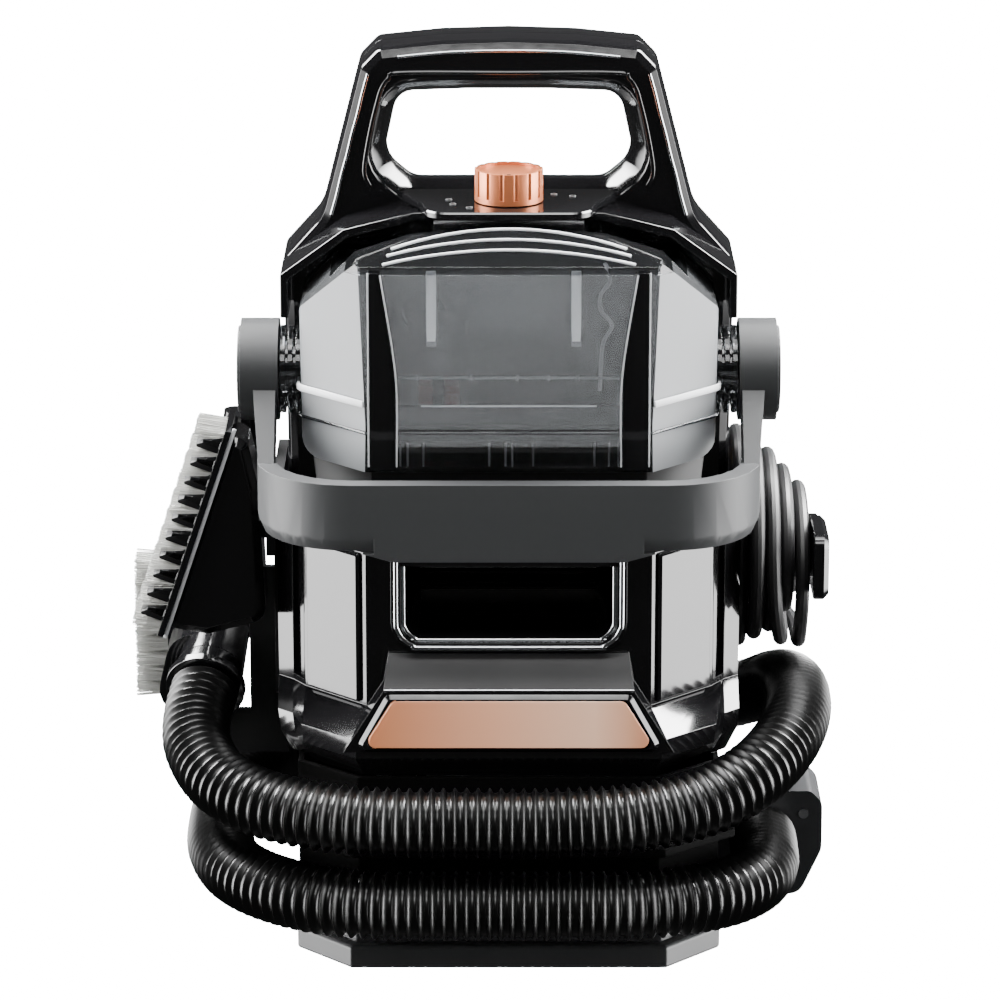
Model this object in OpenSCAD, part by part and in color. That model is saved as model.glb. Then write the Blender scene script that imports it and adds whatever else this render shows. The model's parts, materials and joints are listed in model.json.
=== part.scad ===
// Portable carpet and upholstery cleaner with a steam heater, a removable dirty
// water tank under a carrying bail at the front and a clean water tank behind.
// Millimetres, +Z up, front towards -Y. The origin is on the floor, under the
// middle of the base.

/* [Lower body] */
// Half the width of the base across its straight sides
base_half_w = 104; // [102:1:106]
// Half the depth of the base
base_half_d = 118; // [117:1:119]
// Height of the base tray
base_h = 20; // [18:1:20]
// Height of the bottom lip of the glossy lower body
lip_z = 105; // [104:1:106]
// Height of the shelf that both tanks stand on
shelf_z = 205; // [203:1:205]
// Half the width of the body at its front strips
strip_half = 114; // [113:0.5:114.5]
// Half the width of the recessed side walls
side_half = 111; // [110:0.5:111.5]
// Wall thickness of the mouldings
wall = 3; // [2.5:0.5:3.5]

/* [Handle and panel] */
// Height of the top of the fixed handle
handle_top = 438.5; // [432:0.5:440]
// Front face of the handle tower
tower_front = -8; // [-8.5:0.5:-7.5]
// Depth of each half of the handle tower
tower_half_d = 22; // [20:1:23]
// Height of the control panel's face
panel_z = 365; // [364:0.5:366]
// Radius of the control dial
dial_r = 16.6; // [16:0.1:17]
// Height of the control dial
dial_h = 15.4; // [14.8:0.2:16]

/* [Dirty water tank] */
// Half the width of the clear tank
tank_half = 101; // [100:0.5:101]
// Underside of the clear part of the tank
tank_floor = 245; // [244:1:247]
// Wall thickness of both tanks
tank_wall = 2.2; // [2:0.1:2.6]

/* [Bail] */
// Height of the bail's pivots
pivot_z = 281; // [280:0.5:282]
// Distance of the bail's pivots behind the middle, towards the front
pivot_y = -35; // [-36:0.5:-34]
// Radius of the round hubs
hub_r = 25; // [24:0.5:25.5]
// Radius of the pivot pins
pivot_pin_r = 8; // [7:0.5:9]
// Thickness of the bail's band
band_t = 9; // [8:0.5:10]
// Depth of the bail's band, bottom to top
band_h = 33; // [31:1:34]

/* [Hose] */
// Outer diameter of the ribbed hose
hose_d = 34; // [32:1:34]

/* [Power cord] */
// Diameter of the mains cord
cord_d = 7.2; // [6.8:0.1:7.2]
// Half the height of the drum that the cord is wound on
drum_h = 19; // [16:1:20]
// Half the height of the wound cord next to the side wall
winding_h = 55.6; // [53:0.2:56]

/* [Stored tools] */
// Length of the wide brush tool's plate
brush_len = 110; // [104:2:110]
// Number of bristle tufts along the wide brush
tuft_count = 11; // [8:1:12]
// Lean of the wide brush tool, in degrees from upright
brush_lean = 18.6; // [16:0.2:20]

/* [Hidden] */
$fn = 64;
tank_bottom = shelf_z + 1;
lip_bottom = lip_z - 9;
clean_top = 326;
drum_y = 5;
drum_z = 185;
drum_l = 30;
drum_x = strip_half + 35.2;
turn_pitch = (drum_x - side_half - 0.5) / 5;
winding_x = side_half + 0.2;
motor_y = 14;
pan_floor = 7;
fan_top = 119.5;
float_x = -34;
float_y = -44;
dial_y = -35;
port_x = 128;
port_y = -28;
port_z = 35;
relief_corner = [100, 78, 124];
brush_y = -38;
small_z = 120.5;
trigger_pivot = [-158, 21, 168];
trigger_lean = 19;

// The hose: out of the port, once round the body, then across the front again
// and up to the spray handle on the left
hose_route = [
    [128, -28, 35], [128, -46, 35], [127, -66, 35], [121, -90, 36], [107, -110, 37],
    [86, -124, 38], [58, -131, 38], [20, -132, 38], [-20, -132, 38], [-58, -131, 38],
    [-90, -124, 38], [-116, -107, 38], [-134, -83, 38], [-143, -52, 38],
    [-145, -18, 38], [-144, 20, 38], [-140, 56, 38], [-128, 88, 38], [-106, 112, 38],
    [-76, 127, 38], [-40, 132, 39], [0, 133, 41], [40, 132, 45], [76, 127, 50],
    [106, 112, 61], [127, 88, 75], [138, 58, 90], [143, 24, 102], [145, -10, 107.5],
    [143, -44, 106.5], [135, -76, 102], [119, -103, 95], [95, -121, 87.5], [62, -131, 83],
    [22, -133, 81], [-20, -133, 81], [-60, -132, 81], [-94, -125, 82],
    [-122, -111, 84], [-142, -90, 88], [-153, -64, 95], [-155, -42, 103],
    [-152, -22, 112]
];
hose_end = hose_route[len(hose_route) - 1];
hose_end_dir = hose_end - hose_route[len(hose_route) - 2];

// The cord between its strain relief and the winding, and its plug end
lead_route = [
    [117, 85, 166], [117, 85, 176], [116.9, 83, 188], [116.4, 77, 201],
    [115.6, 67, 213], [115.1, 54, 223], [115, 42, 229]
];
tail_route = [
    [145.4, -16, 132.9], [145.4, 10, 132.9], [145.3, 26, 132.9],
    [145.2, 36, 133.1], [142.4, 44, 133.8], [139.1, 51, 134], [139, 54, 134], [139, 55.9, 134]
];

// ---------- helpers ----------

function unit(v) = v / norm(v);

// Corners given as [x, y, radius], each turned into an arc of short straight steps
function rounded(c, steps = 5) = [
    for (i = [0 : len(c) - 1])
        let (
            n = len(c),
            p = [c[i][0], c[i][1]],
            a = c[(i + n - 1) % n],
            b = c[(i + 1) % n],
            u = unit([a[0], a[1]] - p),
            v = unit([b[0], b[1]] - p),
            r = c[i][2],
            half = acos(max(-1, min(1, u * v))) / 2,
            centre = p + unit(u + v) * r / sin(half),
            turn = (180 - 2 * half) * sign(u[1] * v[0] - u[0] * v[1]),
            start = p + u * r / tan(half) - centre
        )
        if (r == 0) p
        else for (k = [0 : steps])
            let (t = turn * k / steps)
            centre + [
                start[0] * cos(t) - start[1] * sin(t),
                start[0] * sin(t) + start[1] * cos(t)
            ]
];

// An anticlockwise outline moved inwards by d, with mitred corners
function inset(p, d) = [
    for (i = [0 : len(p) - 1])
        let (
            n = len(p),
            e = unit(p[i] - p[(i + n - 1) % n]),
            f = unit(p[(i + 1) % n] - p[i]),
            ne = [-e[1], e[0]],
            nf = [-f[1], f[0]]
        )
        p[i] + d * (ne + nf) / (1 + ne * nf)
];

// The right-hand half of an outline, listed anticlockwise, joined to its mirror image
function mirrored(half) = concat(
    half,
    [for (i = [len(half) - 1 : -1 : 0]) if (half[i][0] != 0)
        [-half[i][0], half[i][1], half[i][2]]]
);

// The same without corner radii
function mirrored_points(half) = concat(
    half,
    [for (i = [len(half) - 1 : -1 : 0]) if (half[i][0] != 0) [-half[i][0], half[i][1]]]
);

// A solid through outlines of equal length, each given as [points, height]
module loft(rings) {
    n = len(rings[0][0]);
    last = len(rings) - 1;
    polyhedron(
        points = [for (r = rings) for (p = r[0]) [p[0], p[1], r[1]]],
        faces = concat(
            [[for (i = [0 : n - 1]) i]],
            [[for (i = [n - 1 : -1 : 0]) last * n + i]],
            [for (k = [0 : last - 1]) for (i = [0 : n - 1])
                [k * n + i, (k + 1) * n + i, (k + 1) * n + (i + 1) % n,
                 k * n + (i + 1) % n]]
        )
    );
}

// A plate with its lower and upper edges chamfered
module chamfered(p, h, low, high) {
    loft([[inset(p, low), 0], [p, low], [p, h - high], [inset(p, high), h]]);
}

// An outline in X and Z, extruded towards the front from y
module upright(y) {
    translate([0, y, 0]) rotate([90, 0, 0]) children();
}

// An outline in Y and Z, extruded to the right from x
module sideways(x) {
    translate([x, 0, 0]) rotate([90, 0, 90]) children();
}

// A cylinder along X from x0 to x1
module rod_x(x0, x1, y, z, r) {
    translate([x0, y, z]) rotate([0, 90, 0]) cylinder(h = x1 - x0, r = r);
}

// A cylinder along Y from y0 to y1
module rod_y(y0, y1, x, z, r) {
    translate([x, y0, z]) rotate([-90, 0, 0]) cylinder(h = y1 - y0, r = r);
}

// A cylinder, or a cone, from point a to point b
module rod(a, b, r0, r1) {
    d = b - a;
    translate(a)
        rotate([0, acos(d[2] / norm(d)), atan2(d[1], d[0])])
        cylinder(h = norm(d), r1 = r0, r2 = r1);
}

// A pipe with round elbows through the points
module pipe(points, r) {
    for (i = [0 : len(points) - 2]) rod(points[i], points[i + 1], r, r);
    for (i = [1 : len(points) - 2]) translate(points[i]) sphere(r = r + 0.5);
}

module both_sides() {
    children();
    mirror([1, 0, 0]) children();
}

// Rounded oval outline in Y and Z
function oval(y, z, half_l, half_h) = [for (a = [0 : 9 : 351])
    [y + half_l * sign(cos(a)) * pow(abs(cos(a)), 0.8),
     z + half_h * sign(sin(a)) * pow(abs(sin(a)), 0.8)]];

// Direction of a route at point i
function heading(p, i) = unit(p[min(i + 1, len(p) - 1)] - p[max(i - 1, 0)]);

// A round tube swept along a route's own points; flat lies across every stretch
module swept(p, d, sides, flat = [0, 0, 1]) {
    n = len(p);
    polyhedron(
        points = [for (i = [0 : n - 1]) for (k = [0 : sides - 1])
            let (
                t = heading(p, i),
                u = unit(cross(t, flat)),
                v = cross(u, t),
                a = 360 * k / sides
            )
            p[i] + d / 2 * (u * cos(a) + v * sin(a))],
        faces = concat(
            [[for (k = [sides - 1 : -1 : 0]) k]],
            [[for (k = [0 : sides - 1]) (n - 1) * sides + k]],
            [for (i = [0 : n - 2]) for (k = [0 : sides - 1])
                [i * sides + k, i * sides + (k + 1) % sides,
                 (i + 1) * sides + (k + 1) % sides, (i + 1) * sides + k]]
        )
    );
}

// ---------- outlines ----------

base_plan = mirrored_points([
    [77, -base_half_d], [base_half_w, -90], [base_half_w, 90], [77, base_half_d]
]);
waist_plan = mirrored_points([[73, -110], [103, -84], [103, 84], [73, 110]]);

// Lower body in plan, right-hand half: front edge, facet, strip and side wall
function front_ring(xa, yf, xb, yb, xc, yc, xs) =
    mirrored_points([[xa, yf], [xb, yb], [xc - 7.5, yc - 7.5], [xc, yc], [xc, -40],
        [xs, -33], [xs, -0.2]]);
function rear_ring(xa, yr, xb, yb, xs) =
    mirrored_points([[xs, 0.2], [xb, yb], [xa, yr]]);

handle_outline = rounded(mirrored([
    [side_half - 2, shelf_z + 0.4, 0], [side_half, 330, 6], [92, 351, 22],
    [73, 425, 8], [64, handle_top - 4.2, 6],
    [33, handle_top - 1, 60], [0, handle_top, 0]
]));
grip_opening = rounded(mirrored([[47, panel_z + 1, 12], [61.5, 378, 14],
    [54.5, handle_top - 28, 10], [20, handle_top - 26.8, 20]]));

// Front view of the clear tank, and its side view
tank_front = rounded(mirrored([
    [tank_half - 1, tank_floor, 9], [tank_half, 318, 5], [74, 345.5, 6],
    [46, 354.5, 20], [0, 358.5, 0]
]));
tank_plan_half = [[68.5, -94.5], [99.5, -62], [101, -58], [101, -14]];
sump_plan = mirrored_points([[66, -89], [95, -60], [95, -19]]);

// ---------- lower body ----------

module base_pan() {
    color("#2b2c2d") difference() {
        union() {
            chamfered(base_plan, 12, 1, 1.5);
            translate([0, 0, 11])
                chamfered(inset(base_plan, 6), base_h - 11, 0.5, 3);
        }
        translate([0, 0, -1]) linear_extrude(4) polygon(inset(base_plan, 5));
        translate([0, 0, pan_floor]) linear_extrude(20) polygon(inset(base_plan, 12));
    }
}

module rubber_feet() {
    color("#151515")
        for (x = [-84, 84], y = [-88, 88])
            translate([x, y, 0]) cylinder(h = 3, r = 8);
}

module lower_housing() {
    color("#141415") difference() {
        union() {
            translate([0, 0, base_h])
                linear_extrude(lip_bottom - base_h) polygon(waist_plan);
            // rib that keeps the two front runs of the hose apart
            intersection() {
                translate([0, 0, 57])
                    chamfered(inset(waist_plan, -8), 5, 1, 1);
                translate([-120, -120, 50]) cube([240, 50, 20]);
            }
        }
        translate([0, 0, base_h - 1])
            linear_extrude(lip_z) polygon(inset(waist_plan, wall));
        // air path from the hose port
        rod_x(90, 110, -8, port_z, 13);
    }
}

module front_cover() {
    slope_z = lip_z + 23;
    color("#0b0b0c") difference() {
        union() {
            loft([
                [front_ring(70, -107, 95, -84, 107, -66, 107), lip_bottom],
                [front_ring(74, -114, 100, -90, 112, -68, 110.5), lip_z + 2],
                [front_ring(74, -113.5, 101, -88.5, 113.5, -64, side_half), lip_z + 11],
                [front_ring(69, -95.5, 99.5, -65, strip_half - 0.5, -47, side_half), slope_z],
                [front_ring(69, -95.5, 99.5, -65, strip_half, -46, side_half), 150],
                [front_ring(69, -95.5, 99.5, -65, strip_half, -46, side_half), shelf_z]
            ]);
            bezel_sill();
        }
        // hollow inside
        loft([
            [front_ring(66, -100, 88, -76, 100, -60, 101), lip_bottom - 1],
            [front_ring(66, -93, 92, -60, 105, -42, side_half - wall - 1), slope_z],
            [front_ring(66, -92.5, 92, -60, 105, -42, side_half - wall), shelf_z - wall]
        ]);
        recess_void(0);
        // grooves between the facets and the side strips
        both_sides() rotate([0, 0, 45])
            translate([26, -120, slope_z + 3]) cube([10.5, 9.2, shelf_z - slope_z - 6]);
        duct_hole(-1);
        duct_hole(1);
    }
    color("#0b0b0c") recess_box();
}

// Sloping sill between the recess and the badge, with slanted ends
module bezel_sill() {
    intersection() {
        upright(-90) linear_extrude(30) polygon([[-80, lip_z + 5], [80, lip_z + 5],
            [60.5, 141], [58, 155.5], [-58, 155.5], [-60.5, 141]]);
        sideways(-90) linear_extrude(180) polygon([[-94, lip_z + 5],
            [-114, lip_z + 5], [-114, 141.5], [-98, 155.5], [-94, 155.5]]);
    }
}

// Opening for an air duct through the shelf and the floor of the tower
module duct_hole(side) {
    translate([side * 42 - 18.2, -4, shelf_z - 10]) cube([36.4, 28.4, 24]);
}

// The open recess under the tank, and the liner that closes its back and sides
module recess_void(grow) {
    upright(-38 + grow) linear_extrude(80)
        polygon(rounded([[-52 - grow, 156 - grow, 12], [52 + grow, 156 - grow, 12],
            [52 + grow, 230, 0], [-52 - grow, 230, 0]]));
}

module recess_box() {
    difference() {
        intersection() {
            recess_void(2.5);
            translate([-60, -94.5, 140]) cube([120, 62, shelf_z - 140]);
        }
        recess_void(0);
    }
}

// Glossy facets that continue the tank's clear corners down to the bezel
module front_panels() {
    color("#26282a") both_sides()
        translate([84.5, -80, 0]) rotate([90, 0, 45])
        chamfered(rounded([[-18.5, lip_z + 24, 1.5], [18.5, lip_z + 24, 1.5],
            [18.5, shelf_z - 1, 1.5], [-18.5, shelf_z - 1, 1.5]], 3), 2.4, 0.2, 1.2);
}

module recess_trim() {
    color("#101012") difference() {
        union() {
            upright(-95.5) linear_extrude(3) polygon(trim_outline(0));
            upright(-98.4) linear_extrude(1.6) polygon(trim_outline(-1.8));
        }
        upright(-90) linear_extrude(12) polygon(trim_outline(-5));
    }
}

function trim_outline(d) = inset(rounded([
    [-57, 156, 15], [57, 156, 15], [57, shelf_z - 0.5, 0],
    [-57, shelf_z - 0.5, 0]]), -d);

module badge_frame() {
    color("#121213") upright(-114)
        difference() {
            chamfered(badge_outline(3), 3, 0.2, 2);
            translate([0, 0, 1.4]) linear_extrude(4) polygon(badge_outline(0.3));
        }
}

// Badge trapezium grown by d
function badge_outline(d) = rounded([
    [-71 - d * 1.4, lip_z + 8 - d * 0.8, 4], [71 + d * 1.4, lip_z + 8 - d * 0.8, 4],
    [56 + d, 137.5 + d * 0.8, 4], [-56 - d, 137.5 + d * 0.8, 4]]);

module badge_plate() {
    color("#d59a7c") upright(-115.4)
        chamfered(badge_outline(0), 1.8, 0.1, 0.6);
}

module rear_cover() {
    color("#0b0b0c") difference() {
        loft([
            [rear_ring(70, 106, 99, 80, 107), lip_bottom],
            [rear_ring(74, 113, 105, 84, 110.5), lip_z + 2],
            [rear_ring(74, 113.5, 107, 83, side_half), lip_z + 11],
            [rear_ring(74, 113, 108, 82, side_half), lip_z + 23],
            [rear_ring(74, 113, 108, 80, side_half), 150],
            [rear_ring(74, 113, 108, 80, side_half), shelf_z]
        ]);
        loft([
            [rear_ring(66, 100, 93, 76, 101), lip_bottom - 1],
            [rear_ring(70, 109, 103, 78, side_half - wall), shelf_z - wall]
        ]);
        // outlet for the vent grille
        translate([-50, 100, 134]) cube([100, 20, 44]);
        // hole for the clean tank's valve
        translate([0, 76, 190]) cylinder(h = 20, r = 12);
        // hole for the mains cord's strain relief
        translate(relief_corner) cube([40, 14, 14.1]);
        duct_hole(-1);
        duct_hole(1);
    }
}

module vent_grille() {
    color("#1a1a1b") difference() {
        translate([-49.7, 108.5, 134.3]) cube([99.4, 4.5, 43.4]);
        for (i = [0 : 5])
            translate([-44, 100, 138.5 + i * 6.6]) cube([88, 20, 3.4]);
    }
}

// ---------- handle tower and controls ----------

module handle_front_shell() {
    color("#0b0b0c") upright(tower_front + tower_half_d) difference() {
        loft([
            [handle_outline, 0], [handle_outline, tower_half_d - 5],
            [inset(handle_outline, 1.5), tower_half_d - 2],
            [inset(handle_outline, 5), tower_half_d]
        ]);
        translate([0, 0, -1]) linear_extrude(tower_half_d - wall) tower_cavity();
        loft([
            [grip_opening, -1], [grip_opening, 6],
            [inset(grip_opening, -6), tower_half_d - 3],
            [inset(grip_opening, -9), tower_half_d + 0.1]
        ]);
        // inlet and suction openings towards the dirty tank
        for (x = [-42, 42]) {
            translate([x, 304, 10]) cylinder(h = 20, r = 12);
            translate([x - 18.2, shelf_z - 10, -1]) cube([36.4, 24, 19]);
        }
    }
}

module tower_cavity() {
    difference() {
        polygon(inset(handle_outline, wall + 1));
        polygon(inset(grip_opening, -12));
    }
}

module handle_rear_shell() {
    color("#0b0b0c") translate([0, tower_front + 2 * tower_half_d, 0])
        mirror([0, 1, 0]) upright(tower_half_d) difference() {
            loft([
                [handle_outline, 0], [handle_outline, tower_half_d - 5],
                [inset(handle_outline, 1.5), tower_half_d - 2],
                [inset(handle_outline, 5), tower_half_d]
            ]);
            translate([0, 0, -1]) linear_extrude(tower_half_d - wall) tower_cavity();
            loft([
                [grip_opening, -1], [grip_opening, 6],
                [inset(grip_opening, -6), tower_half_d - 3],
                [inset(grip_opening, -9), tower_half_d + 0.1]
            ]);
            for (x = [-42, 42])
                translate([x - 18.2, shelf_z - 10, -1]) cube([36.4, 24, 11.4]);
        }
}

// Arched hood over the back of the tank, either side of the control box
module top_deck() {
    arch = mirrored_points([
        [side_half - 4, 308], [side_half, 308], [side_half, 329.5], [80, 352],
        [46, 360.5], [0, 360.9]
    ]);
    color("#0d0d0e") difference() {
        upright(tower_front) linear_extrude(34) polygon(concat(
            [for (i = [1 : len(arch) - 2]) arch[i]],
            [[-107, 308], [-107, 327], [-78, 347.8], [-45, 356.5], [45, 356.5],
             [78, 347.8], [107, 327], [107, 308]]));
        translate([-38, -60, 300]) cube([76, 60, 70]);
    }
}

panel_plan = rounded(mirrored([[39, -63, 12], [43, -40, 10], [52, tower_front - 12, 6],
    [52, tower_front, 0]]), 6);

module control_panel() {
    color("#0d0d0e") difference() {
        union() {
            translate([0, 0, panel_z - 4]) chamfered(panel_plan, 4, 1, 0.8);
            translate([-36, -57, 340]) cube([72, 49, panel_z - 343.9]);
        }
        translate([-34, -55, 342]) cube([68, 44.6, panel_z - 344.9]);
        translate([0, dial_y, 350]) cylinder(h = 20, r = 4);
    }
}

module indicator_lenses() {
    color("#d8dadb")
        for (p = [[-29, -34], [-27, -44], [-19, -52], [22, -22], [31, -26]])
            translate([p[0], p[1], panel_z]) cylinder(h = 0.4, r = 1.8);
}

module rotary_switch() {
    color("#3a3a3c") difference() {
        translate([-13, dial_y - 13, 347]) cube([26, 26, panel_z - 350.4]);
        translate([0, dial_y, 346]) cylinder(h = 20, r = 3.4);
    }
}

module circuit_board() {
    color("#1d5a3a") translate([-32, -53, 343]) cube([64, 40, 1.6]);
}

module control_dial() {
    color("#c98462") difference() {
        translate([0, dial_y, panel_z + 0.5]) cylinder(h = dial_h, r = dial_r);
        // dished top
        translate([0, dial_y, panel_z + dial_h - 0.9]) cylinder(h = 3, r = dial_r - 2.4);
        // finger flutes
        for (a = [18 : 24 : 354])
            translate([0, dial_y, panel_z + 3]) rotate([0, 0, a])
                translate([dial_r + 0.5, 0, 0]) cylinder(h = dial_h, r = 1.4, $fn = 24);
        translate([0, dial_y, panel_z - 1]) cylinder(h = 12, r = 3);
    }
}

module dial_shaft() {
    color("#b9bbbd") translate([0, dial_y, 349]) cylinder(h = panel_z - 338, r = 3);
}

// ---------- dirty water tank ----------

// The tank's outer form, or its inner form when d is the wall thickness
module tank_form(d) {
    intersection() {
        translate([0, 0, 236]) linear_extrude(134)
            polygon(inset(mirrored_points(tank_plan_half), d));
        upright(0) linear_extrude(120) polygon(inset(tank_front, d));
        sideways(-120) linear_extrude(240) polygon(inset([
            [-94, tank_floor - 1], [-14, tank_floor - 1], [-14, 336], [-59, 336], [-59, 352], [-61, 358.6],
            [-66, 358.6], [-91, 345], [-94.4, 268]], d));
    }
}

// The region above the joint between tank and lid, in side view
module lid_region(grow) {
    sideways(-130) linear_extrude(260) polygon([
        [-110, 341 - grow], [-61 + grow, 341 - grow], [-61 + grow, 333 - grow],
        [0, 333 - grow], [0, 380], [-110, 380]]);
}

module tank_shell() {
    color([0.55, 0.57, 0.6, 0.35]) difference() {
        tank_form(0);
        tank_form(tank_wall);
        lid_region(0);
        for (x = [-42, 42]) rod_y(-30, 0, x, 304, 11);
    }
    // pivot bosses inside the tank's cheeks
    color([0.55, 0.57, 0.6, 0.35]) both_sides() difference() {
        rod_x(96, tank_half - 1, pivot_y, pivot_z, 14);
        rod_x(90, 120, pivot_y, pivot_z, pivot_pin_r + 1);
    }
}

module tank_lid() {
    color([0.6, 0.62, 0.65, 0.4]) difference() {
        intersection() {
            tank_form(0);
            lid_region(0);
        }
        difference() {
            tank_form(tank_wall);
            translate([-120, -57.5, 330]) cube([240, 60, 10]);
        }
    }
}

module tank_base() {
    color("#131314") difference() {
        loft([
            [inset(sump_plan, 4), tank_bottom],
            [sump_plan, tank_floor - 0.2]
        ]);
        translate([0, 0, tank_bottom + 3]) linear_extrude(tank_floor)
            polygon(inset(sump_plan, 8));
        // window slots between the front ribs
        for (x = [-45, -15, 15, 45])
            translate([x - 11, -100, tank_bottom + 10])
                cube([22, 22, tank_floor - tank_bottom - 20]);
    }
}

module duct_seal() {
    color("#202021") for (x = [-42, 42]) difference() {
        rod_y(-13.6, tower_front, x, 304, 16);
        rod_y(-20, 0, x, 304, 11.5);
    }
}

module inlet_stack() {
    color([0.5, 0.52, 0.55, 0.5]) difference() {
        union() {
            rod_y(-44, -16.4, 42, 304, 14);
            translate([42, -44, 262]) cylinder(h = 58, r = 15);
        }
        rod_y(-44, -10, 42, 304, 11);
        translate([42, -44, 250]) cylinder(h = 66, r = 12.5);
    }
}

module float_cage() {
    color([0.6, 0.62, 0.65, 0.5]) translate([float_x, float_y, 0]) difference() {
        translate([0, 0, tank_floor + tank_wall]) cylinder(h = 62, r = 15);
        translate([0, 0, tank_floor + 1]) cylinder(h = 80, r = 12.6);
        for (a = [0, 60, 120])
            rotate([0, 0, a]) translate([-20, -5, tank_floor + 9]) cube([40, 10, 48]);
    }
}

module float() {
    color("#a3201f") translate([float_x, float_y, tank_floor + 6]) difference() {
        cylinder(h = 26, r = 11.6);
        translate([0, 0, -1]) cylinder(h = 24, r = 9.6);
    }
}

module pivot_rings() {
    color([0.6, 0.62, 0.65, 0.5]) both_sides() difference() {
        union() {
            rod_x(tank_half, tank_half + 10.4, pivot_y, pivot_z, 17);
            for (x = [tank_half, tank_half + 3.8, tank_half + 7.6])
                rod_x(x, x + 2.4, pivot_y, pivot_z, 21.5);
        }
        rod_x(90, 130, pivot_y, pivot_z, pivot_pin_r + 0.05);
    }
}

// ---------- bail ----------

bail_half = tank_half + 20;
bail_front = -128;
bail_low = 215;
hub_in = tank_half + 10.8;
bail_plan = rounded([
    [-bail_half, -76.5, 3.6], [-bail_half, bail_front, 46],
    [bail_half, bail_front, 46], [bail_half, -76.5, 3.6],
    [bail_half - band_t, -76.5, 3.6], [bail_half - band_t, bail_front + band_t, 38],
    [-bail_half + band_t, bail_front + band_t, 38], [-bail_half + band_t, -76.5, 3.6]
], 6);

// The band, with a stepped lower edge whose deeper middle is left unchamfered
module bail_band() {
    top = bail_low + band_h;
    corner_r = 46;
    difference() {
        intersection() {
            translate([0, 0, bail_low - 6]) linear_extrude(band_h + 6)
                polygon(bail_plan);
            upright(-60) linear_extrude(90) polygon([[-140, bail_low],
                [-73, bail_low], [-55, bail_low - 5], [55, bail_low - 5],
                [73, bail_low], [140, bail_low], [140, top - 0.1], [-140, top - 0.1]]);
        }
        both_sides() {
            sideways(64) linear_extrude(bail_half - corner_r - 63.8) polygon([
                [bail_front - 4, bail_low - 1], [bail_front + 3.4, bail_low - 1],
                [bail_front - 0.4, bail_low + 8], [bail_front - 4, bail_low + 8]]);
            intersection() {
                translate([bail_half - corner_r, bail_front + corner_r, 0])
                    rotate_extrude() polygon([
                        [corner_r - 3.4, bail_low - 1], [corner_r + 4, bail_low - 1],
                        [corner_r + 4, bail_low + 8], [corner_r + 0.4, bail_low + 8]]);
                translate([bail_half - corner_r, bail_front - 10, bail_low - 2])
                    cube([60, corner_r + 16, 12]);
            }
        }
    }
}

// One arm, from the band's end up to the hub
module bail_arm() {
    function level(x0, x1, yf, yb) = [[x0, yf], [x1, yf], [x1, yb], [x0, yb]];
    loft([
        [level(bail_half - 8.2, bail_half - 0.8, -88, -80), bail_low + 4],
        [level(bail_half - 8.2, bail_half - 0.8, -90, -62), bail_low + band_h - 1],
        [level(hub_in + 1.2, hub_in + 12.4, -57, -24), pivot_z - 2]]);
}

module carry_bail() {
    color("#4b4d4f") {
        bail_band();
        both_sides() {
            bail_arm();
            difference() {
                rod_x(hub_in, tank_half + 29.4, pivot_y, pivot_z, hub_r);
                rod_x(tank_half + 27.9, 140, pivot_y, pivot_z, hub_r - 3.5);
            }
            rod_x(tank_half + 0.5, hub_in + 1, pivot_y, pivot_z, pivot_pin_r);
        }
    }
}

module hub_caps() {
    color("#4b4d4f") both_sides()
        rod_x(tank_half + 27.9, tank_half + 30.9, pivot_y, pivot_z, hub_r - 3.7);
}

// ---------- clean water tank ----------

clean_plan = mirrored_points([[98, 40], [98, 84], [73, 111]]);

module clean_tank() {
    color([0.55, 0.57, 0.6, 0.35]) difference() {
        clean_form(0);
        clean_form(tank_wall);
        translate([0, 76, clean_top - 5]) cylinder(h = 10, r = 24);
        translate([0, 76, shelf_z - 2]) cylinder(h = 10, r = 6.4);
    }
    // neck, welded into the tank's top by its flange
    color([0.55, 0.57, 0.6, 0.35]) difference() {
        union() {
            translate([0, 76, clean_top - tank_wall]) cylinder(h = tank_wall, r = 23.9);
            translate([0, 76, clean_top - 1]) cylinder(h = 9, r = 20);
        }
        translate([0, 76, clean_top - 5]) cylinder(h = 20, r = 17);
    }
}

module clean_form(d) {
    intersection() {
        translate([0, 0, shelf_z + 1 + d]) linear_extrude(clean_top - shelf_z - 1 - 2 * d)
            polygon(inset(clean_plan, d));
        upright(130) linear_extrude(130) polygon(inset(rounded(mirrored([
            [98, shelf_z, 0], [98, 300, 8], [72, clean_top, 8]])), d));
    }
}

module filler_cap() {
    color("#141415") difference() {
        translate([0, 76, clean_top + 0.4]) cylinder(h = 12, r = 25);
        translate([0, 76, clean_top - 1]) cylinder(h = 9.8, r = 20.3);
        for (a = [0 : 20 : 340])
            translate([0, 76, clean_top - 1]) rotate([0, 0, a])
                translate([25.6, 0, 0]) cylinder(h = 20, r = 1.5, $fn = 16);
    }
}

module cap_seal() {
    color("#303032") translate([0, 76, clean_top + 8.2]) difference() {
        cylinder(h = 0.6, r = 20);
        translate([0, 0, -1]) cylinder(h = 3, r = 15);
    }
}

module tank_valve() {
    color("#9b9da0") translate([0, 76, 0]) {
        translate([0, 0, shelf_z + 1.2]) cylinder(h = 14.8, r = 3);
        translate([0, 0, shelf_z + 3.8]) cylinder(h = 3, r = 8.5);
    }
}

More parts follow.
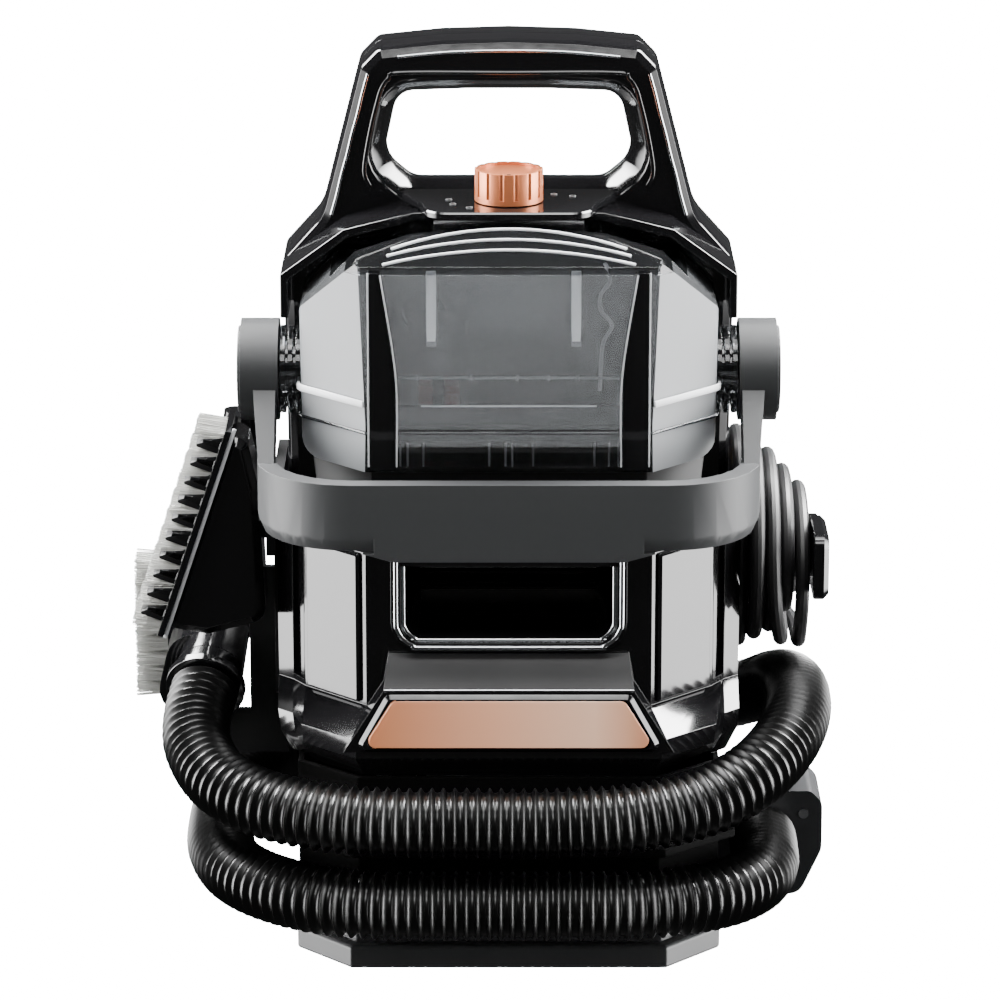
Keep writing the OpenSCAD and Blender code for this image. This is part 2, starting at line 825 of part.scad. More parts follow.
module valve_seat() {
    color("#2a2a2b") translate([0, 76, 0]) difference() {
        union() {
            translate([0, 0, 186]) cylinder(h = shelf_z - 186, r = 12);
            // flange under the shelf
            translate([0, 0, shelf_z - wall - 4]) cylinder(h = 4, r = 17);
        }
        translate([0, 0, 190]) cylinder(h = 30, r = 8);
        translate([0, 0, 180]) cylinder(h = 30, r = 2.5);
    }
    // pin that opens the tank's valve, on a bar across the seat
    color("#2a2a2b") translate([0, 76, 0]) {
        translate([-9, -1, 194]) cube([18, 2, 4]);
        translate([0, 0, 195]) cylinder(h = shelf_z - 194.6, r = 1.5);
    }
}

// ---------- motor, fan, pump and heater ----------

module vacuum_motor() {
    color("#6c6e70") translate([0, motor_y, 0]) {
        difference() {
            translate([0, 0, pan_floor]) cylinder(h = 83, r = 42);
            translate([0, 0, pan_floor + 4]) cylinder(h = 75, r = 38);
            translate([0, 0, 80]) cylinder(h = 20, r = 8);
        }
        // bearing seats
        for (z = [pan_floor + 3.9, 80]) difference() {
            translate([0, 0, z]) cylinder(h = 12 - z / 14, r = 13);
            translate([0, 0, max(z, 16)]) cylinder(h = 20, r = 8);
        }
    }
}

module motor_bearings() {
    color("#b0b2b4") translate([0, motor_y, 0]) for (z = [16, 83]) difference() {
        translate([0, 0, z]) cylinder(h = 6, r = 8);
        translate([0, 0, z - 1]) cylinder(h = 8, r = 4.05);
    }
}

module motor_shaft() {
    color("#9b9da0") translate([0, motor_y, 0]) {
        translate([0, 0, 17]) cylinder(h = 95, r = 4);
        translate([0, 0, 32]) cylinder(h = 42, r = 26);
    }
}

module fan_impeller() {
    color("#8a8c8e") translate([0, motor_y, 0]) difference() {
        union() {
            translate([0, 0, 96]) cylinder(h = 2.5, r = 50);
            for (a = [0 : 40 : 320])
                rotate([0, 0, a]) translate([14, -1, 98]) rotate([0, 0, 18])
                    cube([34, 2, 12]);
            translate([0, 0, 96]) cylinder(h = 14, r = 9);
        }
        translate([0, 0, 90]) cylinder(h = 30, r = 4);
    }
}

module fan_housing() {
    color("#2a2a2b") translate([0, motor_y, 0]) difference() {
        translate([0, 0, pan_floor + 83]) cylinder(h = 29.5, r = 57);
        translate([0, 0, 93]) cylinder(h = 24, r = 54);
        translate([0, 0, 80]) cylinder(h = 60, r = 20);
        translate([0, 0, 93]) translate([50, -8, 0]) cube([20, 16, 20]);
    }
}

module water_pump() {
    color("#3f4245") {
        translate([-80, 54, pan_floor]) cube([32, 32, 46]);
        translate([-64, 70, 52]) cylinder(h = 12, r = 6);
        rod_y(46, 56, -64, 36, 5);
    }
}

module steam_heater() {
    color("#a9abad") {
        translate([46, 56, pan_floor]) cube([32, 30, 73.4]);
        for (z = [18 : 10 : 68]) translate([44, 54, z]) cube([36, 34, 3]);
    }
}

module water_tubes() {
    color("#c9ccce") {
        pipe([[0, 76, 186], [0, 76, 135], [-64, 72, 130], [-64, 70, 64]], 3.5);
        pipe([[-64, 46, 36], [-64, 38, 36], [-74, 38, 128], [40, 80, 134],
            [62, 72, 128], [62, 71, 80.4]], 3);
    }
}

// Ducts down the tower: from the hose port to the tank, and from the tank to the fan
module air_ducts() {
    color("#1d1d1e") {
        difference() {
            union() {
                translate([24, -3.8, 124]) cube([36, 28, 198]);
                translate([24, -22, 124]) cube([70, 32, 28]);
                translate([66, -22, 24]) cube([28, 28, 128]);
                rod_x(90, 97.6, -8, port_z, 12.8);
                rod_y(tower_front, -3, 42, 304, 11.9);
            }
            translate([26, -1.8, 126]) cube([32, 24, 194]);
            translate([26, -20, 126]) cube([66, 28, 24]);
            translate([68, -20, 26]) cube([24, 24, 122]);
            rod_y(-10, 0, 42, 304, 10.5);
            rod_x(85, 99, -8, port_z, 11);
        }
        difference() {
            union() {
                translate([-60, -3.8, 124]) cube([36, 28, 198]);
                translate([-60, -3.8, 124]) cube([78, 28, 28]);
                rod_y(tower_front, -3, -42, 304, 11.9);
                translate([0, motor_y, fan_top]) cylinder(h = 6, r = 19.8);
            }
            translate([-58, -1.8, 126]) cube([32, 24, 194]);
            translate([-58, -1.8, 126]) cube([74, 24, 24]);
            rod_y(-10, 0, -42, 304, 10.5);
            translate([0, motor_y + 1, 110]) cylinder(h = 18, r = 14);
        }
    }
}

module hose_port() {
    color("#3c3e40") difference() {
        upright(14) linear_extrude(14 - port_y) polygon(rounded([
            [103.1, 16, 0], [base_half_w + 4, 16, 0], [base_half_w + 4, 5, 2], [147, 5, 8],
            [158, 29, 10], [158, 54, 8], [152, 60, 5],
            [103.1, 60, 2]]));
        // duct from the housing, turning into the hose
        rod_x(90, port_x, -8, port_z, 11);
        rod_y(port_y - 1, -8, port_x, port_z, 12);
        rod_y(port_y - 1, port_y + 6, 148.5, 48, 2.6);
    }
}

// ---------- hose and spray handle ----------

module hose() {
    color("#18191a") swept(hose_route, hose_d, 12);
}

module hose_cuff() {
    d = unit(hose_end_dir);
    color("#101011") difference() {
        union() {
            rod(hose_end + d * 0.1, hose_end + d * 14, hose_d / 2 + 1, hose_d / 2);
            rod(hose_end + d * 0.1, hose_end + d * 5, hose_d / 2 + 3, hose_d / 2 + 3);
        }
        rod(hose_end - d, hose_end + d * 15, 12, 12);
    }
}

// Spray handle that bends upwards from the cuff and leans into the holder's clip
handle_elbow = hose_end + unit(hose_end_dir) * 47;
handle_mid = [-142, 22, 170];
handle_tip = [-134, 22, 228];

module spray_handle() {
    start = hose_end + unit(hose_end_dir) * 14.1;
    color("#0e0e0f") difference() {
        union() {
            rod(start, handle_elbow, 17, 14.5);
            // valve body beside the elbow
            upright(34) linear_extrude(35.9) polygon(rounded([[-180, 91, 13],
                [-142, 93, 10], [-140, 134, 10], [-170, 134, 14]]));
            translate(handle_elbow) sphere(r = 15);
            rod(handle_elbow, handle_mid, 14.5, 13);
            translate(handle_mid) sphere(r = 13.4);
            rod(handle_mid, handle_tip, 13, 15);
            rod(handle_tip, handle_tip + unit(handle_tip - handle_mid) * 16, 11, 11);
            // ears that carry the trigger
            for (y = [-9, 6])
                translate(trigger_pivot + [-4, y, -5]) cube([14, 3, 10]);
        }
        translate(trigger_pivot + [-6, -5.4, -8]) cube([16, 10.8, 16]);
    }
    color("#9b9da0")
        rod_y(trigger_pivot[1] - 8.8, trigger_pivot[1] + 8.8,
            trigger_pivot[0], trigger_pivot[2], 1.6);
}

module trigger() {
    color("#2c2d2f") translate(trigger_pivot) difference() {
        union() {
            rod_y(-5, 5, 0, 0, 3.6);
            rotate([0, trigger_lean, 0]) translate([-2.8, -4.4, -35])
                cube([4.4, 8.8, 33.1]);
        }
        rod_y(-6, 6, 0, 0, 1.65);
    }
}

// ---------- stored tools ----------

module in_brush_frame() {
    translate([-153.5, brush_y, 204]) rotate([0, brush_lean, 0]) children();
}

module brush_tool() {
    color("#101011") difference() {
        in_brush_frame() {
            translate([-1.5, -23, -brush_len / 2]) cube([3, 46, brush_len]);
            translate([0, 18, 0]) rotate([90, 0, 0])
                chamfered(rounded([
                    [1.4, -52, 4.5], [22, -49, 8], [47, -33, 8], [23, 30, 10],
                    [11, 50, 5], [1.4, 53, 4.5]]), 36, 4, 4);
            // fingers between the tufts
            for (i = [1 : tuft_count - 1])
                translate([-1.4, 16, i * brush_len / tuft_count - brush_len / 2])
                    rotate([90, 0, 0]) linear_extrude(32)
                        polygon([[0, -2.3], [0, 2.3], [-9, 0.7], [-9, -1.7]]);
        }
        rod_x(-150, -100, brush_y, 204, 8.3);
    }
}

module brush_bristles() {
    pitch = brush_len / tuft_count;
    color("#e6e6e4") in_brush_frame()
        for (i = [0 : tuft_count - 1])
            translate([-1.5, 17, (i + 0.5) * pitch - brush_len / 2])
                rotate([90, 0, 0]) linear_extrude(34) polygon([
                    [0, -pitch * 0.23], [0, pitch * 0.23], [-14, pitch * 0.34],
                    [-14.8, -pitch * 0.1], [-14, -pitch * 0.5]]);
}

module small_tool() {
    color("#101011") difference() {
        union() {
            translate([-175, 46, 82]) cube([4, 34, 77]);
            translate([-171.1, 63, small_z]) rotate([0, 90, 0])
                cylinder(h = 36, r1 = 24, r2 = 14);
        }
        rod_x(-150, -120, 63, small_z, 8.3);
    }
}

module small_bristles() {
    color("#e6e6e4") translate([-192.5, 49, 84]) cube([17.5, 28, 73]);
}

module tool_holder() {
    plate_x = -side_half - 5;
    color("#141415") {
        // back plate on the side wall, with a peg for each tool
        sideways(plate_x) linear_extrude(5) polygon(rounded([
            [-31, 112, 6], [76, 104, 6], [78, 142, 10], [44, 196, 10],
            [40, 226, 6], [-31, 226, 6]]));
        translate([-strip_half - 5, brush_y - 12, 190]) cube([4.6, 34, 30]);
        translate([-strip_half - 5, -31, 190])
            cube([strip_half + 5 - side_half, 14, 30]);
        rod_x(-142, -strip_half - 2, brush_y, 204, 8);
        rod_x(-142, plate_x + 2, 63, small_z, 8);
        // web between the side wall and the spray handle
        upright(-4.6) linear_extrude(3.4) polygon([[-side_half - 0.2, 74],
            [-side_half - 0.2, 172], [-130, 172], [-130, 97], [-151, 97], [-151, 74]]);
        // clip behind the spray handle
        difference() {
            translate([-131, 2, 200]) cube([16, 40, 12]);
            rod([-139.24, 22, 190], [-134.83, 22, 222], 14, 15.2);
        }
    }
}

// ---------- power cord ----------

module cord_drum() {
    color("#1a1a1b") difference() {
        sideways(side_half) linear_extrude(drum_x - side_half)
            polygon(oval(drum_y, drum_z, drum_l, drum_h));
        sideways(side_half + 3) linear_extrude(drum_x - side_half - 7)
            polygon(oval(drum_y, drum_z, drum_l - 4, drum_h - 4));
        rod_x(drum_x - 8, drum_x + 1, drum_y, drum_z, 6.05);
    }
    // shelf that the plug lies on
    color("#1a1a1b") sideways(side_half - 2) linear_extrude(38)
        polygon([[63, 121.5], [77.5, 121.5], [77.5, 125.7], [63, 125.7]]);
}

module cord_hook() {
    color("#0f0f10") {
        rod_x(drum_x - 3, drum_x + 1, drum_y, drum_z, 6);
        sideways(drum_x + 0.4) translate([drum_y, drum_z])
            chamfered(rounded([[-62, -17, 7], [-24, -17, 8], [-4, -9, 8], [12, -9, 6],
                [12, 9, 6], [-4, 9, 8], [-24, 17, 8], [-62, 17, 7]]), 7.5, 0.5, 2.5);
    }
}

// Five flat spirals of cord side by side; the outer ones are shorter and hang lower
module cord_winding() {
    spirals = [
        [drum_z + 2, drum_l + 7.2, winding_h - 5.8],
        [drum_z - 3, drum_l + 34.5, winding_h - 0.8],
        [drum_z - 6.2, drum_l + 31.5, winding_h - 4.3],
        [drum_z - 8, drum_l + 26, winding_h - 9.6],
        [drum_z - 11, drum_l + 17.5, winding_h - 18.4]
    ];
    color("#101011") difference() {
        for (i = [0 : 4])
            sideways(winding_x + i * turn_pitch) linear_extrude(turn_pitch)
                polygon(oval(drum_y, spirals[i][0], spirals[i][1], spirals[i][2]));
        sideways(winding_x - 1) linear_extrude(40)
            polygon(oval(drum_y, drum_z, drum_l + 0.5, drum_h + 0.5));
    }
}

module cord_ends() {
    color("#101011") {
        swept(lead_route, cord_d, 10, [1, 0, 0]);
        swept(tail_route, cord_d, 10, [1, 0, 0]);
    }
}

module plug() {
    color("#101011") {
        rod([139, 56, 134], [139, 70, 134], 5, 7.5);
        translate([131, 69.9, 126]) cube([16, 20, 16]);
    }
    color("#c8a24a") for (z = [129, 137.4])
        translate([136, 89.8, z]) cube([6, 17, 1.6]);
}

module strain_relief() {
    color("#141415") {
        translate([117, 85, 138]) cylinder(h = 28, r1 = 7.5, r2 = 5);
        translate(relief_corner) cube([24.5, 14, 14.1]);
    }
}

module housing_screws() {
    color("#9b9da0") {
        for (x = [-88, 88], y = [-70, 70])
            translate([x, y, 0.8]) cylinder(h = 2.2, r = 4);
        for (x = [-96, 96], z = [230, 290])
            rod_y(36.02, 37.6, x, z, 3.6);
        rod_y(port_y - 0.4, port_y + 6, 148.5, 48, 2.5);
    }
}

// ---------- output ----------

base_pan();
rubber_feet();
lower_housing();
front_cover();
front_panels();
recess_trim();
badge_frame();
badge_plate();
rear_cover();
vent_grille();
handle_front_shell();
handle_rear_shell();
top_deck();
control_panel();
indicator_lenses();
rotary_switch();
circuit_board();
control_dial();
dial_shaft();
tank_shell();
tank_lid();
tank_base();
duct_seal();
inlet_stack();
float_cage();
float();
pivot_rings();
carry_bail();
hub_caps();
clean_tank();
filler_cap();
cap_seal();
tank_valve();
valve_seat();
vacuum_motor();
motor_shaft();
motor_bearings();
fan_impeller();
fan_housing();
water_pump();
steam_heater();
water_tubes();
air_ducts();
hose_port();
hose();
hose_cuff();
spray_handle();
trigger();
brush_tool();
brush_bristles();
small_tool();
small_bristles();
tool_holder();
cord_drum();
cord_hook();
cord_winding();
cord_ends();
plug();
strain_relief();
housing_screws();
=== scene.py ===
# %% [markdown]
# # A portable carpet cleaner
# This notebook dresses a finished set of engineering solids. The solids come in as
# fixed pieces, and each visible one gets a real finish or a finer mesh around it.

# %% Load the solids
import bpy
import json
import math
import random
from mathutils import Matrix, Vector


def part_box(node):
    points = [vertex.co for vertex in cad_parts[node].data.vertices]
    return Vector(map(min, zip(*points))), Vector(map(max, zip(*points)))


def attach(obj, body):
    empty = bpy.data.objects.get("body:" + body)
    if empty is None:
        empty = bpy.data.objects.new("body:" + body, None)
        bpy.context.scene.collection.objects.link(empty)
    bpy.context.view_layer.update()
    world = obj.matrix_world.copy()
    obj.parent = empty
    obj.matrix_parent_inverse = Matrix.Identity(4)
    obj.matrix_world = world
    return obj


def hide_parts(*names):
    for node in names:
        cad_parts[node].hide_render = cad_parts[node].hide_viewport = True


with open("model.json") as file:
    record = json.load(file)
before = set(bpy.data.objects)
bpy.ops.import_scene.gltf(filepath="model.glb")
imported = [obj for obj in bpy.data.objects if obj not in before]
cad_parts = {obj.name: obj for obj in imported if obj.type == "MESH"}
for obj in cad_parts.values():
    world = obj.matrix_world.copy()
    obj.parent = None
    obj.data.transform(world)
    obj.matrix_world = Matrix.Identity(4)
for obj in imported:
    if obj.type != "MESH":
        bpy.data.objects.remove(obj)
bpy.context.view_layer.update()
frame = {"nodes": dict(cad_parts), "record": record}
scene = bpy.context.scene

# %% [markdown]
# The camera stands a little above the machine and far away, as a long studio lens
# does, so upright edges stay upright. A look-at rotation is simpler than setting angles.

# %% Camera
camera_data = bpy.data.cameras.new("studio_camera")
camera_data.lens = 172.8
camera_data.sensor_width = 36
camera = bpy.data.objects.new("studio_camera", camera_data)
scene.collection.objects.link(camera)
scene.camera = camera
looks_at = Vector((-0.00425, 0, 0.2042))
camera.location = (-0.00425, -2.30703, 0.86573)
camera.rotation_euler = (looks_at - camera.location).to_track_quat("-Z", "Y").to_euler()
print("camera at", tuple(camera.location))

# %% [markdown]
# Cords and hoses are drawn along smooth lines. A Catmull-Rom curve passes through
# every point of a route, so a few given points give a natural bend.

# %% Smooth routes
MM = 0.001


def smooth_route(points, step):
    """Points about one step apart on a smooth curve through the given ones."""
    ends = [points[0] * 2 - points[1]] + points + [points[-1] * 2 - points[-2]]
    dense = []
    for i in range(1, len(ends) - 2):
        a, b, c, d = ends[i - 1 : i + 3]
        for k in range(24):
            t = k / 24
            dense.append(0.5 * (2 * b + (c - a) * t + (2 * a - 5 * b + 4 * c - d) * t ** 2
                                + (3 * b - a - 3 * c + d) * t ** 3))
    dense.append(ends[-2])
    return even_route(dense, step)


def even_route(dense, step):
    """The same line with its points evenly spaced."""
    walked = [0]
    for a, b in zip(dense, dense[1:]):
        walked.append(walked[-1] + (b - a).length)
    count = max(2, round(walked[-1] / step))
    route, i = [], 0
    for k in range(count + 1):
        goal = walked[-1] * k / count
        while i < len(walked) - 2 and walked[i + 1] < goal:
            i += 1
        part = (goal - walked[i]) / max(walked[i + 1] - walked[i], 1e-9)
        route.append(dense[i].lerp(dense[i + 1], min(part, 1)))
    return route


def route_length(route):
    return sum((b - a).length for a, b in zip(route, route[1:]))


def in_metres(points):
    return [Vector(p) * MM for p in points]


print("millimetres in a metre:", round(1 / MM))


# %% [markdown]
# Every modelling step works on one selected piece. These few helpers clear the
# selection first, because the solids arrive selected, and keep each finished piece
# at the origin with its place in its mesh.

# %% Selection and placing
def take(piece):
    """Makes piece the only selected object."""
    if bpy.context.object and bpy.context.object.mode != "OBJECT":
        bpy.ops.object.mode_set(mode="OBJECT")
    bpy.ops.object.select_all(action="DESELECT")
    piece.select_set(True)
    bpy.context.view_layer.objects.active = piece
    return piece


def settle(piece):
    """Puts a piece's place, turn and size into its mesh."""
    take(piece)
    bpy.ops.object.transform_apply(location=True, rotation=True, scale=True)
    return piece


def modify(piece, kind, **settings):
    """Adds a modifier and applies it."""
    take(piece)
    modifier = piece.modifiers.new(kind.lower(), kind)
    for name, value in settings.items():
        setattr(modifier, name, value)
    bpy.ops.object.modifier_apply(modifier=modifier.name)
    return piece


def shade(piece, degrees=38):
    take(piece)
    bpy.ops.object.shade_smooth_by_angle(angle=math.radians(degrees))
    return piece


def mesh_piece(name, points, faces):
    """A piece from listed points and faces."""
    mesh = bpy.data.meshes.new(name)
    mesh.from_pydata([tuple(p) for p in points], [], faces)
    mesh.update()
    piece = bpy.data.objects.new(name, mesh)
    scene.collection.objects.link(piece)
    return piece


def merge(name, pieces):
    """Joins pieces into one."""
    take(pieces[0])
    for piece in pieces[1:]:
        piece.select_set(True)
    if len(pieces) > 1:
        bpy.ops.object.join()
    pieces[0].name = name
    return pieces[0]


print("helpers for one selected piece at a time are ready")


# %% [markdown]
# A tube is a row of rings along a route. The rings are carried along without
# twisting: each ring turns only as much as the route itself turns.

# %% Tubes
def tube(name, route, radii, sides):
    """A mesh tube along the route, with one radius for each point."""
    heading = (route[1] - route[0]).normalized()
    side = heading.orthogonal().normalized()
    points, faces = [], []
    for i, place in enumerate(route):
        ahead = (route[min(i + 1, len(route) - 1)] - route[max(i - 1, 0)]).normalized()
        side = (side - ahead * side.dot(ahead)).normalized()
        other = ahead.cross(side)
        for k in range(sides):
            angle = math.tau * k / sides
            points.append(place + radii[i] * (side * math.cos(angle)
                                              + other * math.sin(angle)))
    for i in range(len(route) - 1):
        for k in range(sides):
            a, b = i * sides + k, i * sides + (k + 1) % sides
            faces.append((a, b, b + sides, a + sides))
    last = (len(route) - 1) * sides
    faces.append(tuple(reversed(range(sides))))
    faces.append(tuple(last + k for k in range(sides)))
    return mesh_piece(name, points, faces)


print("tubes are ready")


# %% [markdown]
# The suction hose is a ribbed plastic tube of 34 mm. It leaves the port at the
# right, runs round the base, crosses the front a second time above its first run
# and ends in the cuff at the left. Ribs are rings of changing radius, about
# 5.5 mm apart, so they catch the light as real ones do.

# %% Suction hose
HOSE_D = 0.034
RIB_PITCH = 0.0055
RIB = (0, -0.0007, -0.002, -0.0024, -0.0025, -0.0024, -0.002, -0.0007)
hose_route = smooth_route(in_metres([
    (128, -28, 35), (128, -46, 35), (127, -66, 35), (121, -90, 36), (107, -110, 37),
    (86, -124, 38), (58, -131, 38), (20, -132, 38), (-20, -132, 38), (-58, -131, 38),
    (-90, -124, 38), (-116, -107, 38), (-134, -83, 38), (-143, -52, 38),
    (-145, -18, 38), (-144, 20, 38), (-140, 56, 38), (-128, 88, 38), (-106, 112, 38),
    (-76, 127, 38), (-40, 132, 39), (0, 133, 41), (40, 132, 45), (76, 127, 50),
    (106, 112, 61), (127, 88, 75), (138, 58, 89.3), (143, 24, 100), (145, -10, 105.4),
    (143, -44, 105.2), (135, -76, 101.6), (119, -103, 95), (95, -121, 87.5), (62, -131, 83),
    (22, -133, 81), (-20, -133, 81), (-60, -132, 81), (-94, -125, 82),
    (-122, -111, 84), (-142, -90, 88), (-153, -64, 95), (-155, -42, 103),
    (-152, -22, 112)]), RIB_PITCH / len(RIB))
hose = tube("suction_hose", hose_route,
            [HOSE_D / 2 + RIB[i % len(RIB)] for i in range(len(hose_route))], 24)

# %% [markdown]
# The mains cord leaves its strain relief, is wound on the drum as five flat
# spirals side by side, and ends in its plug. A spiral grows or shrinks by a little
# more than the cord's thickness with each turn, and the cord steps over to the next
# one only at its rim or at the drum, so it never has to pass through itself.

# %% Mains cord
CORD_D = 0.0072
DRUM_Y = 5
END_ROUNDING = 1.4  # how softly the straight runs pass into the round ends
STEPS_PER_TURN = 14
WINDING = [  # turn, place along the drum, centre height, half length, half height, in mm
    (0.25, 115.0, 187, 33.8, 46.4), (0.50, 115.0, 186, 36.0, 46.8),
    (0.72, 115.0, 183, 58.0, 50.5), (0.95, 122.5, 182, 60.8, 51.0),
    (4.66, 122.5, 185, 33.8, 22.7), (4.88, 130.1, 185, 33.8, 22.7),
    (7.51, 130.1, 178.8, 57.8, 47.6), (7.73, 137.6, 177, 52.2, 42.2),
    (9.33, 137.6, 185, 33.8, 22.7), (9.58, 137.6, 185, 33.8, 22.7),
    (9.80, 145.4, 183, 35.0, 24.0), (10.62, 145.4, 174, 44.0, 33.6)]


def wound(turn):
    """The cord's place after so many turns from the back of the drum."""
    k = 0
    while k < len(WINDING) - 2 and WINDING[k + 1][0] < turn:
        k += 1
    now, then = WINDING[k], WINDING[k + 1]
    part = (turn - now[0]) / (then[0] - now[0])
    x, z, half_l, half_h = (a + (b - a) * part for a, b in zip(now[1:], then[1:]))
    along, up = math.cos(math.tau * turn), math.sin(math.tau * turn)
    ease = math.tanh(END_ROUNDING * along) / math.tanh(END_ROUNDING)
    return Vector((x, DRUM_Y + half_h * along + (half_l - half_h) * ease,
                   z + half_h * up)) * MM


TURNS = WINDING[-1][0] - WINDING[0][0]
STEPS = round(TURNS * STEPS_PER_TURN)
winding = [wound(WINDING[0][0] + TURNS * k / STEPS) for k in range(STEPS + 1)]
lead = in_metres([(117, 85, 166), (117, 85, 176), (116.9, 83, 188), (116.4, 77, 201),
                  (115.6, 67, 213), (115.1, 54, 223), (115, 42, 229), (115, 24, 232.8)])
tail = in_metres([(145.4, -12, 135), (145.4, 4, 132.9), (145.2, 17, 132.9),
                  (144.3, 28, 133), (142.4, 38, 133.5), (140.4, 46, 133.9),
                  (139.2, 53, 134), (139, 57, 134)])
cord_route = smooth_route(lead + winding + tail, 0.0016)
mains_cord = tube("mains_cord", cord_route, [CORD_D / 2] * len(cord_route), 12)

# %% [markdown]
# Both ride on the body that carries them, and stand for the plain solids there.

# %% Hang the cords on the machine
for piece, slot, nodes in ((hose, "hose_black", ["hose"]),
                           (mains_cord, "cord_black", ["cord_winding", "cord_ends"])):
    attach(piece, "root")
    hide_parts(*nodes)
print("cords at", tuple(hose_route[0]), tuple(cord_route[0]))

# %% [markdown]
# A floor and soft boxes. Polished black plastic shows almost nothing but what it
# reflects, so large soft boxes stand close at both sides for the slanted edges,
# and a wide one hangs overhead. The floor is kept out of the reflections, as black
# cards do in a studio, so that the black plastic stays black.

# %% Studio
bpy.ops.mesh.primitive_plane_add(size=30, location=(0, 0, 0))
floor = settle(bpy.context.object)
floor.name = "studio_floor"
floor.visible_glossy = False


def soft_box(name, place, aim, width, height, power, spread=180):
    light = bpy.data.lights.new(name, "AREA")
    light.shape = "RECTANGLE"
    light.size, light.size_y = width, height
    light.energy = power
    light.spread = math.radians(spread)
    lamp = bpy.data.objects.new(name, light)
    lamp.location = place
    lamp.rotation_euler = (Vector(aim) - Vector(place)).to_track_quat("-Z", "Y").to_euler()
    lamp.visible_camera = False
    scene.collection.objects.link(lamp)


soft_box("left_box", (-0.62, -0.05, 0.42), (0, -0.05, 0.42), 1.1, 1.75, 26, 70)
soft_box("right_box", (0.62, -0.05, 0.42), (0, -0.05, 0.42), 1.1, 1.75, 26, 70)
soft_box("top_box", (0, -0.3, 1.9), (0, 0, 0), 1.4, 1.0, 32)
for side in (-1, 1):
    soft_box("high_box", (0.6 * side, 0.3, 0.85), (0.09 * side, -0.09, 0.12),
             0.6, 0.6, 18, 70)
soft_box("edge_box", (0, -0.5, 1.9), (0, 0, 0.3), 0.9, 0.35, 11)
soft_box("front_box", (0, -2.0, 2.1), (0, 0, 0.2), 1.4, 0.8, 34)
world = bpy.data.worlds.new("studio_air")
scene.world = world
world.use_nodes = True
world.node_tree.nodes["Background"].inputs["Color"].default_value = (1, 1, 1, 1)
world.node_tree.nodes["Background"].inputs["Strength"].default_value = 0.06
print("studio ready")

# %% [markdown]
# Finishes are built from nodes. Two small functions do it: one turns a hex colour
# into the linear numbers that the renderer wants, the other adds a node together
# with its settings and links.

# %% Finish helpers
def colour(hex_text):
    """A hex sRGB colour as linear red, green, blue and alpha."""
    parts = [int(hex_text[i : i + 2], 16) / 255 for i in (1, 3, 5)]
    return tuple(p / 12.92 if p <= 0.04045 else ((p + 0.055) / 1.055) ** 2.4
                 for p in parts) + (1.0,)


def node(tree, kind, settings=None, values=None, links=None):
    """Adds a node, sets its properties and input values, and links its inputs."""
    new = tree.nodes.new(kind)
    for name, value in (settings or {}).items():
        setattr(new, name, value)
    for name, value in (values or {}).items():
        new.inputs[name].default_value = value
    for name, (source, output) in (links or {}).items():
        tree.links.new(source.outputs[output], new.inputs[name])
    return new


def finish(name, base, rough, grain_mm, bump, rough_spread=0.06, mottle=0.12,
           values=None):
    """A moulded or cast finish: fine grain in bump, roughness and colour."""
    material = bpy.data.materials.new(name)
    material.use_nodes = True
    tree = material.node_tree
    shader = tree.nodes["Principled BSDF"]
    place = node(tree, "ShaderNodeTexCoord")
    grain = node(tree, "ShaderNodeTexNoise",
                 values={"Scale": 1 / (grain_mm * MM), "Detail": 3.0},
                 links={"Vector": (place, "Object")})
    patches = node(tree, "ShaderNodeTexNoise", values={"Scale": 28.0, "Detail": 2.0},
                   links={"Vector": (place, "Object")})
    rough_map = node(tree, "ShaderNodeMapRange",
                     values={"To Min": max(rough - rough_spread, 0.02),
                             "To Max": rough + rough_spread},
                     links={"Value": (patches, "Fac")})
    tint = node(tree, "ShaderNodeMixRGB",
                values={"Color1": colour(base),
                        "Color2": tuple(c * (1 - mottle) for c in colour(base)[:3]) + (1,)},
                links={"Fac": (grain, "Fac")})
    bumps = node(tree, "ShaderNodeBump",
                 values={"Strength": bump, "Distance": grain_mm * MM * 0.3},
                 links={"Height": (grain, "Fac")})
    tree.links.new(tint.outputs["Color"], shader.inputs["Base Color"])
    tree.links.new(rough_map.outputs["Result"], shader.inputs["Roughness"])
    tree.links.new(bumps.outputs["Normal"], shader.inputs["Normal"])
    for key, value in (values or {}).items():
        shader.inputs[key].default_value = value
    return material


print("gloss black in linear light:", [round(c, 4) for c in colour("#0b0b0c")[:3]])


# %% [markdown]
# The housing is ABS, most of it polished to a piano black. The base tray and the
# bail are moulded with a fine grain, which scatters light and reads as grey.

# %% Plastic finishes
# a polished mould leaves abs mirror-smooth, so it shows the soft boxes and little else
gloss_black = finish("polished_black_abs", "#0b0b0c", 0.09, 24, 0.012, 0.03, 0.1)
# spark-eroded moulds give a satin skin; its 0.1 mm grain is drawn coarser, to show
satin_black = finish("satin_black_abs", "#0b0b0c", 0.42, 0.9, 0.03,
                     values={"Specular IOR Level": 0.35})
deep_black = finish("fine_black_abs", "#050505", 0.8, 0.9, 0.03,
                    values={"Specular IOR Level": 0.05})
charcoal = finish("grained_charcoal_abs", "#232425", 0.5, 0.9, 0.05)
# the bail is a paler grey abs with broad, soft highlights
bail_grey = finish("satin_grey_abs", "#2c2d2e", 0.48, 3.0, 0.006, 0.03, 0.05,
                   values={"Specular IOR Level": 0.4})
port_grey = finish("grained_grey_abs", "#1d1e20", 0.45, 0.9, 0.05)
